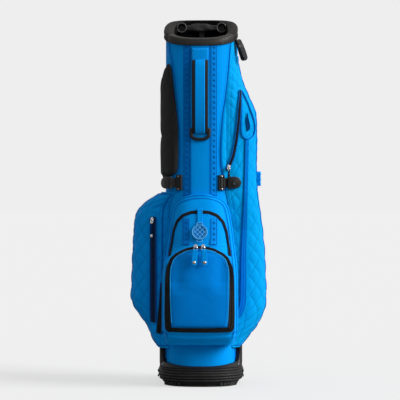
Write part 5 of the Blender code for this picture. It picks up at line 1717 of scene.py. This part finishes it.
def make_grip():
    """The lift grip at the rear of the mouth: two hollow bosses and a wrapped, gathered bar between them."""
    for name, side in (("left", -1), ("right", 1)):
        centre = np.array([side * BOSS_X, 0.0600, GRIP_Z])
        wall = 0.0205
        profile = [(wall, 0.0122), (0.0030, 0.0122), (0.0010, 0.0127), (-0.0002, 0.0124), (-0.0010, 0.0114),
                   (-0.0008, 0.0102), (0.0002, 0.0092), (0.0018, 0.0088), (0.0080, 0.0085), (0.0088, 0.0072),
                   (0.0088, 0.0030), (0.0070, 0.0024), (0.0066, 0.0004)]
        piece = Piece()
        turned(piece, profile, centre, -AHEAD, 0, 48)
        # A raised ring round each boss's opening, grey as a painted highlight on its rim.
        ring = arc_points(centre + (0.0, -0.0008, 0.0), RIGHT, UP, 0.0112, 0.0112, 0, 360,
                          49)[:-1]
        wire(piece, ring, 0.0012, 1, closed=True)
        piece.make(name + "_grip_boss", ["plastic", "boss_rim_painted_highlight"], stands_for=["grip_boss_" + name])
    low, high = (np.array(corner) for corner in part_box("top_grip_bar"))
    middle, size = (low + high) / 2, high - low
    stations = np.linspace(-1.0, 1.0, 120)
    turn = round_turns(44)
    rings = []
    for s in stations:
        pinch = 1.0 - 0.22 * abs(s) ** 6
        half_y, half_z = size[1] / 2 * pinch, size[2] / 2 * pinch * (0.90 + 0.10 * math.cos(s * 3.0))
        y = half_y * bent(np.cos(turn), 0.7)
        z = half_z * bent(np.sin(turn), 0.7)
        point = pile(np.full_like(turn, middle[0] + s * (size[0] / 2 + 0.0006)), middle[1] + y, middle[2] + z)
        gather = 0.0013 * swell(point * (0.55, 0.35, 1.0) + (0.0, 0.0, s * 0.004), 0.0050, 61) * (1.0 - s**8)
        gather += 0.0009 * swell(point * (1.0, 0.3, 0.6), 0.0085, 67) * (1.0 - s**8)
        point[:, 1] += np.cos(turn) * gather
        point[:, 2] += np.sin(turn) * gather + 0.0016 * math.cos(s * 1.5) - 0.0008
        rings.append(point)
    piece = Piece()
    loft(piece, np.array(rings))
    bar = piece.make("top_grip_wrapped", ["grip_leather"], stands_for=["top_grip_bar"])


def make_dividers():
    """Padded bars across the mouth, bound along their tops, and the fabric walls below them."""
    piece = Piece()
    reach = HALF_WIDTH - 0.0035
    for start, end, width in (((-reach, 0.0), (reach, 0.0), 0.0082), ((0.0, -0.0905), (0.0, 0.0500), 0.0072)):
        steps = 90
        line = np.stack([np.linspace(start[k], end[k], steps) for k in (0, 1)], -1)
        z = CUFF_LOW - 0.0250 + line[:, 1] * RISE
        points = np.concatenate([line, z[:, None]], 1)
        ups = unit(np.broadcast_to((0.0, -RISE, 1.0), points.shape))
        turn = round_turns(24)
        section = pile(width / 2 * bent(np.cos(turn), 0.6),
                            0.0078 * bent(np.sin(turn), 0.6))
        swept(piece, points, ups, section, 0)
        for side in (-1, 1):
            cross = unit(np.cross(ups, along(points)))
            stitches(piece, points + ups * 0.0076 + cross * side * 0.0022, ups)
    bars = piece.make("divider_bars", ["lining", "binding"], stands_for=["cuff_divider"])

    wall = HALF_WIDTH - 0.0034
    bottom, top = 0.0150, CUFF_LOW - 0.0320
    for name, nodes, first, last, thick in (
        ("divider_wall_across", ["long_dividers"], (-wall, 0.0), (wall, 0.0), 0.0012),
        ("divider_wall_lengthwise", [], (0.0, -wall - 0.009), (0.0, 0.0515), 0.0010),
    ):
        span = math.hypot(last[0] - first[0], last[1] - first[1])
        across = np.linspace(0.0, 1.0, 40)
        up = np.linspace(0.0, 1.0, 110)
        line = np.array(first) + (np.array(last) - np.array(first)) * across[:, None]
        tops = top + line[:, 1] * RISE
        z = bottom + (tops - bottom)[None, :] * up[:, None]
        normal = np.array([-(last[1] - first[1]), last[0] - first[0], 0.0]) / span
        flat_points = np.concatenate([np.broadcast_to(line[None], (*z.shape, 2)), z[..., None]], -1)
        hold = (np.sin(math.pi * across)[None, :] * np.sin(math.pi * up)[:, None]) ** 0.5
        wave_out = 0.0016 * swell(flat_points * (1.0, 1.0, 0.35), 0.03, 71) * hold
        middle = flat_points + normal * wave_out[..., None]
        flat = pile(across[None, :] * span, z)
        piece = Piece()
        slab(piece, middle + normal * thick / 2, middle - normal * thick / 2, flat)
        sheet = piece.make(name, ["lining"], stands_for=nodes)


# ---- base ---------------------------------------------------------------------------------------
def boot_wing(turn):
    """0 round the front and rear of the boot, rising to 1 at its sides."""
    share = fade(np.abs(np.sin(turn)), 0.940, 0.045)
    return share * share * (3.0 - 2.0 * share)


def boot_top(turn):
    """Height of the boot's top edge round its girth."""
    return 0.0490 + 0.0085 * np.abs(np.sin(turn)) ** 2 + 0.0360 * boot_wing(turn)


def notched(rings, front_y, half_width):
    """The rings with a flat notch pressed in at the rear, between x = -half_width and half_width."""
    rings = np.array(rings)
    behind = (rings[..., 1] > front_y) & (np.abs(rings[..., 0]) < half_width)
    rings[..., 1] = np.where(behind, front_y, rings[..., 1])
    return rings


def make_boot():
    """The moulded foot: a ribbed band that swells above the sole and rises in a wing at each side."""
    turn = round_turns(360)
    profile = [(0.0880, 0.0040), (0.0900, 0.0046), (0.0925, 0.0080), (0.0950, 0.0120)]
    for k in range(5):
        low = 0.0135 + k * 0.0062
        swell_out = 0.0968 + 0.0062 * math.sin(math.pi * (0.18 + k * 0.16))
        profile += [(swell_out - 0.0012, low), (swell_out, low + 0.0008), (swell_out + 0.0003, low + 0.0024),
                    (swell_out, low + 0.0042), (swell_out - 0.0012, low + 0.0050)]
    rings = []
    for half, z in profile:
        rings.append(pile(*oval(turn, half - HALF_WIDTH), z))
    for share, half in ((0.12, 0.1000), (0.45, 0.0972), (0.80, 0.0950), (0.95, 0.0938)):
        x, y = oval(turn, half - HALF_WIDTH + (0.1000 - half) * boot_wing(turn))
        z = 0.0448 + (boot_top(turn) - 0.0448) * share
        rings.append(pile(x, y, z))
    collar = [(0.0925, -0.0004), (0.0905, -0.0009), (0.0880, -0.0006), (HALF_WIDTH + 0.0006, 0.0012)]
    for half, drop in collar:
        grow = half - HALF_WIDTH + 0.0060 * boot_wing(turn) * (half > 0.088)
        rings.append(pile(*oval(turn, grow), boot_top(turn) - drop - 0.0008))
    rings.append(pile(*oval(turn, 0.0006), BOOT_FLOOR))
    piece = Piece()
    loft(piece, notched(rings, NOTCH_FRONT, NOTCH_HALF_WIDTH))
    for side in (-1, 1):
        for height in (0.0200, 0.0325):
            spot = np.array([side * 0.0995, -0.020, height])
            place(piece, rounded_block((0.030, 0.0030, 0.0042), 0.0012, 2), spot + (side * 0.0026, 0.0, 0.0),
                  -AHEAD, UP, 0)
        x, y = oval(np.array(math.radians(side * 66.0)), 0.0125)
        spot = np.array([float(x), float(y), 0.0500])
        turned(piece, [(-0.0006, 0.0024), (0.0006, 0.0024), (0.0012, 0.0018), (0.0014, 0.0004)], spot,
               unit(spot * (1.0, 1.0, 0.0)), 1, 20)
    piece.make("boot_moulded", ["rubber", "steel"], stands_for=["base_boot"], sharp=36)


def make_outsole():
    """The sole: a flat plate round the treadle, with blocky treads at its corners that turn up the sides."""
    turn = round_turns(240)
    rings = []
    for half, z in ((0.0862, 0.0006), (0.0872, 0.0), (0.0886, 0.0010), (0.0888, 0.0034), (0.0880, 0.0040)):
        rings.append(pile(*oval(turn, half - HALF_WIDTH), z))
    piece = Piece()
    loft(piece, notched(rings, 0.014, 0.036))
    lug = rounded_block((0.0086, 0.0052, 0.0170), 0.0014, 2)
    for start, end, count in ((27, 62, 6), (118, 150, 5)):
        for side in (-1, 1):
            for degrees in np.linspace(start, end, count):
                angle = np.radians(side * degrees)
                x, y = oval(np.array(angle), 0.0062)
                ahead = oval(np.array(angle + 0.01), 0.0062)
                tangent = unit(np.array([ahead[0] - x, ahead[1] - y, 0.0]))
                place(piece, lug, (float(x), float(y), 0.0090), tangent, UP, 0)
    for row_y in np.arange(-0.078, 0.0801, 0.0132):
        for column_x in np.arange(-0.0660, 0.0661, 0.0132):
            inside = abs(column_x / 0.080) ** 2.6 + abs(row_y / 0.090) ** 2.6 < 1.0
            if inside and not (row_y > 0.004 and abs(column_x) < 0.042):
                place(piece, rounded_block((0.0098, 0.0098, 0.0024), 0.0008, 1), (column_x, row_y, 0.0012),
                      RIGHT, UP, 0)
    piece.make("outsole_treads", ["rubber"], stands_for=["base_outsole"], sharp=36)


# ---- the stand and stays keep their frame shapes -------------------------------------------------
def finish_nodes():
    """Materials for the folding stand and the stays, which keep the frame's own shapes."""
    kept = {
        "plastic": ["leg_bracket", "actuator_block", "treadle", "stay_left", "stay_right", "stay_rear"],
        "aluminium": [],
        "steel": ["leg_pin_left", "leg_pin_right", "treadle_pin"],
        "rubber": [],
    }
    for side in ("left", "right"):
        kept["plastic"] += ["leg_head_" + side, "leg_clamp_" + side]
        kept["aluminium"].append("leg_tube_" + side)
        kept["steel"].append("push_rod_" + side)
        kept["rubber"].append("leg_foot_" + side)
    for key, names in kept.items():
        for name in names:
            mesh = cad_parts[name].data
            mesh.materials.clear()
            mesh.materials.append(looks[key])
            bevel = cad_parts[name].modifiers.new("eased_edges", "BEVEL")
            bevel.width = 0.0004
            bevel.segments = 2
            bevel.limit_method = "ANGLE"
            bevel.angle_limit = math.radians(40.0)


# ---- floor, light and camera --------------------------------------------------------------------
def make_stage():
    """A pale studio floor, one broad key light from the right, soft fill and a level camera."""
    mesh = bpy.data.meshes.new("studio_floor")
    mesh.from_pydata([(-60, -60, 0), (60, -60, 0), (60, 60, 0), (-60, 60, 0)], [], [(0, 1, 2, 3)])
    floor = bpy.data.objects.new("studio_floor", mesh)
    bpy.context.scene.collection.objects.link(floor)
    look = Look("pale_floor", FLOOR_COLOUR, 0.75, specular_ior_level=0.0)
    look.shader.inputs["Emission Color"].default_value = (*FLOOR_GLOW, 1.0)
    look.links.new(look.nodes.new("ShaderNodeLightPath").outputs["Is Camera Ray"],
                   look.shader.inputs["Emission Strength"])
    look.tint(look.noise(2.0, 2.0), 0.995, 1.005)
    look.gloss(look.noise(0.5, 2.0), 0.72, 0.78)
    mesh.materials.append(look.material)

    world = bpy.data.worlds.new("soft_studio")
    bpy.context.scene.world = world
    world.use_nodes = True
    nodes, links = world.node_tree.nodes, world.node_tree.links
    light = nodes["Background"]
    light.inputs["Color"].default_value = (*WORLD_TINT, 1.0)
    light.inputs["Strength"].default_value = WORLD_STRENGTH
    seen = nodes.new("ShaderNodeBackground")
    seen.inputs["Color"].default_value = (*BACKDROP_COLOUR, 1.0)
    path = nodes.new("ShaderNodeLightPath")
    mix = nodes.new("ShaderNodeMixShader")
    links.new(path.outputs["Is Camera Ray"], mix.inputs[0])
    links.new(light.outputs[0], mix.inputs[1])
    links.new(seen.outputs[0], mix.inputs[2])
    links.new(mix.outputs[0], nodes["World Output"].inputs["Surface"])

    data = bpy.data.lights.new("key", "SUN")
    data.energy = KEY_STRENGTH
    data.angle = math.radians(KEY_SPREAD)
    lamp = bpy.data.objects.new("key", data)
    a, e = math.radians(KEY_AZIMUTH), math.radians(KEY_ELEVATION)
    towards = Vector((math.sin(a) * math.cos(e), -math.cos(a) * math.cos(e), math.sin(e)))
    lamp.rotation_euler = towards.to_track_quat("Z", "Y").to_euler()
    lamp.location = towards * 3.0
    bpy.context.scene.collection.objects.link(lamp)

    data = bpy.data.cameras.new("camera")
    data.lens = LENS
    data.sensor_width = 36.0
    camera = bpy.data.objects.new("camera", data)
    a = math.radians(CAMERA_TURN)
    camera.location = (math.sin(a) * CAMERA_DISTANCE, -math.cos(a) * CAMERA_DISTANCE, CAMERA_HEIGHT)
    camera.rotation_euler = (math.radians(90.0), 0.0, a)
    data.shift_x = CAMERA_SHIFT
    bpy.context.scene.collection.objects.link(camera)
    bpy.context.scene.camera = camera
    bpy.context.scene.view_settings.view_transform = "Standard"


make_tube()
make_tube_trim()
make_grab_strap()
make_front_pocket()
make_front_panels()
make_front_zips()
make_ball_pulls()
make_badge()
make_side_pockets()
make_side_pulls()
make_shoulder_pad()
make_clips()
make_cuff_loop()
make_towel_tab()
make_cuff()
make_grip()
make_dividers()
make_boot()
make_outsole()
finish_nodes()
make_stage()
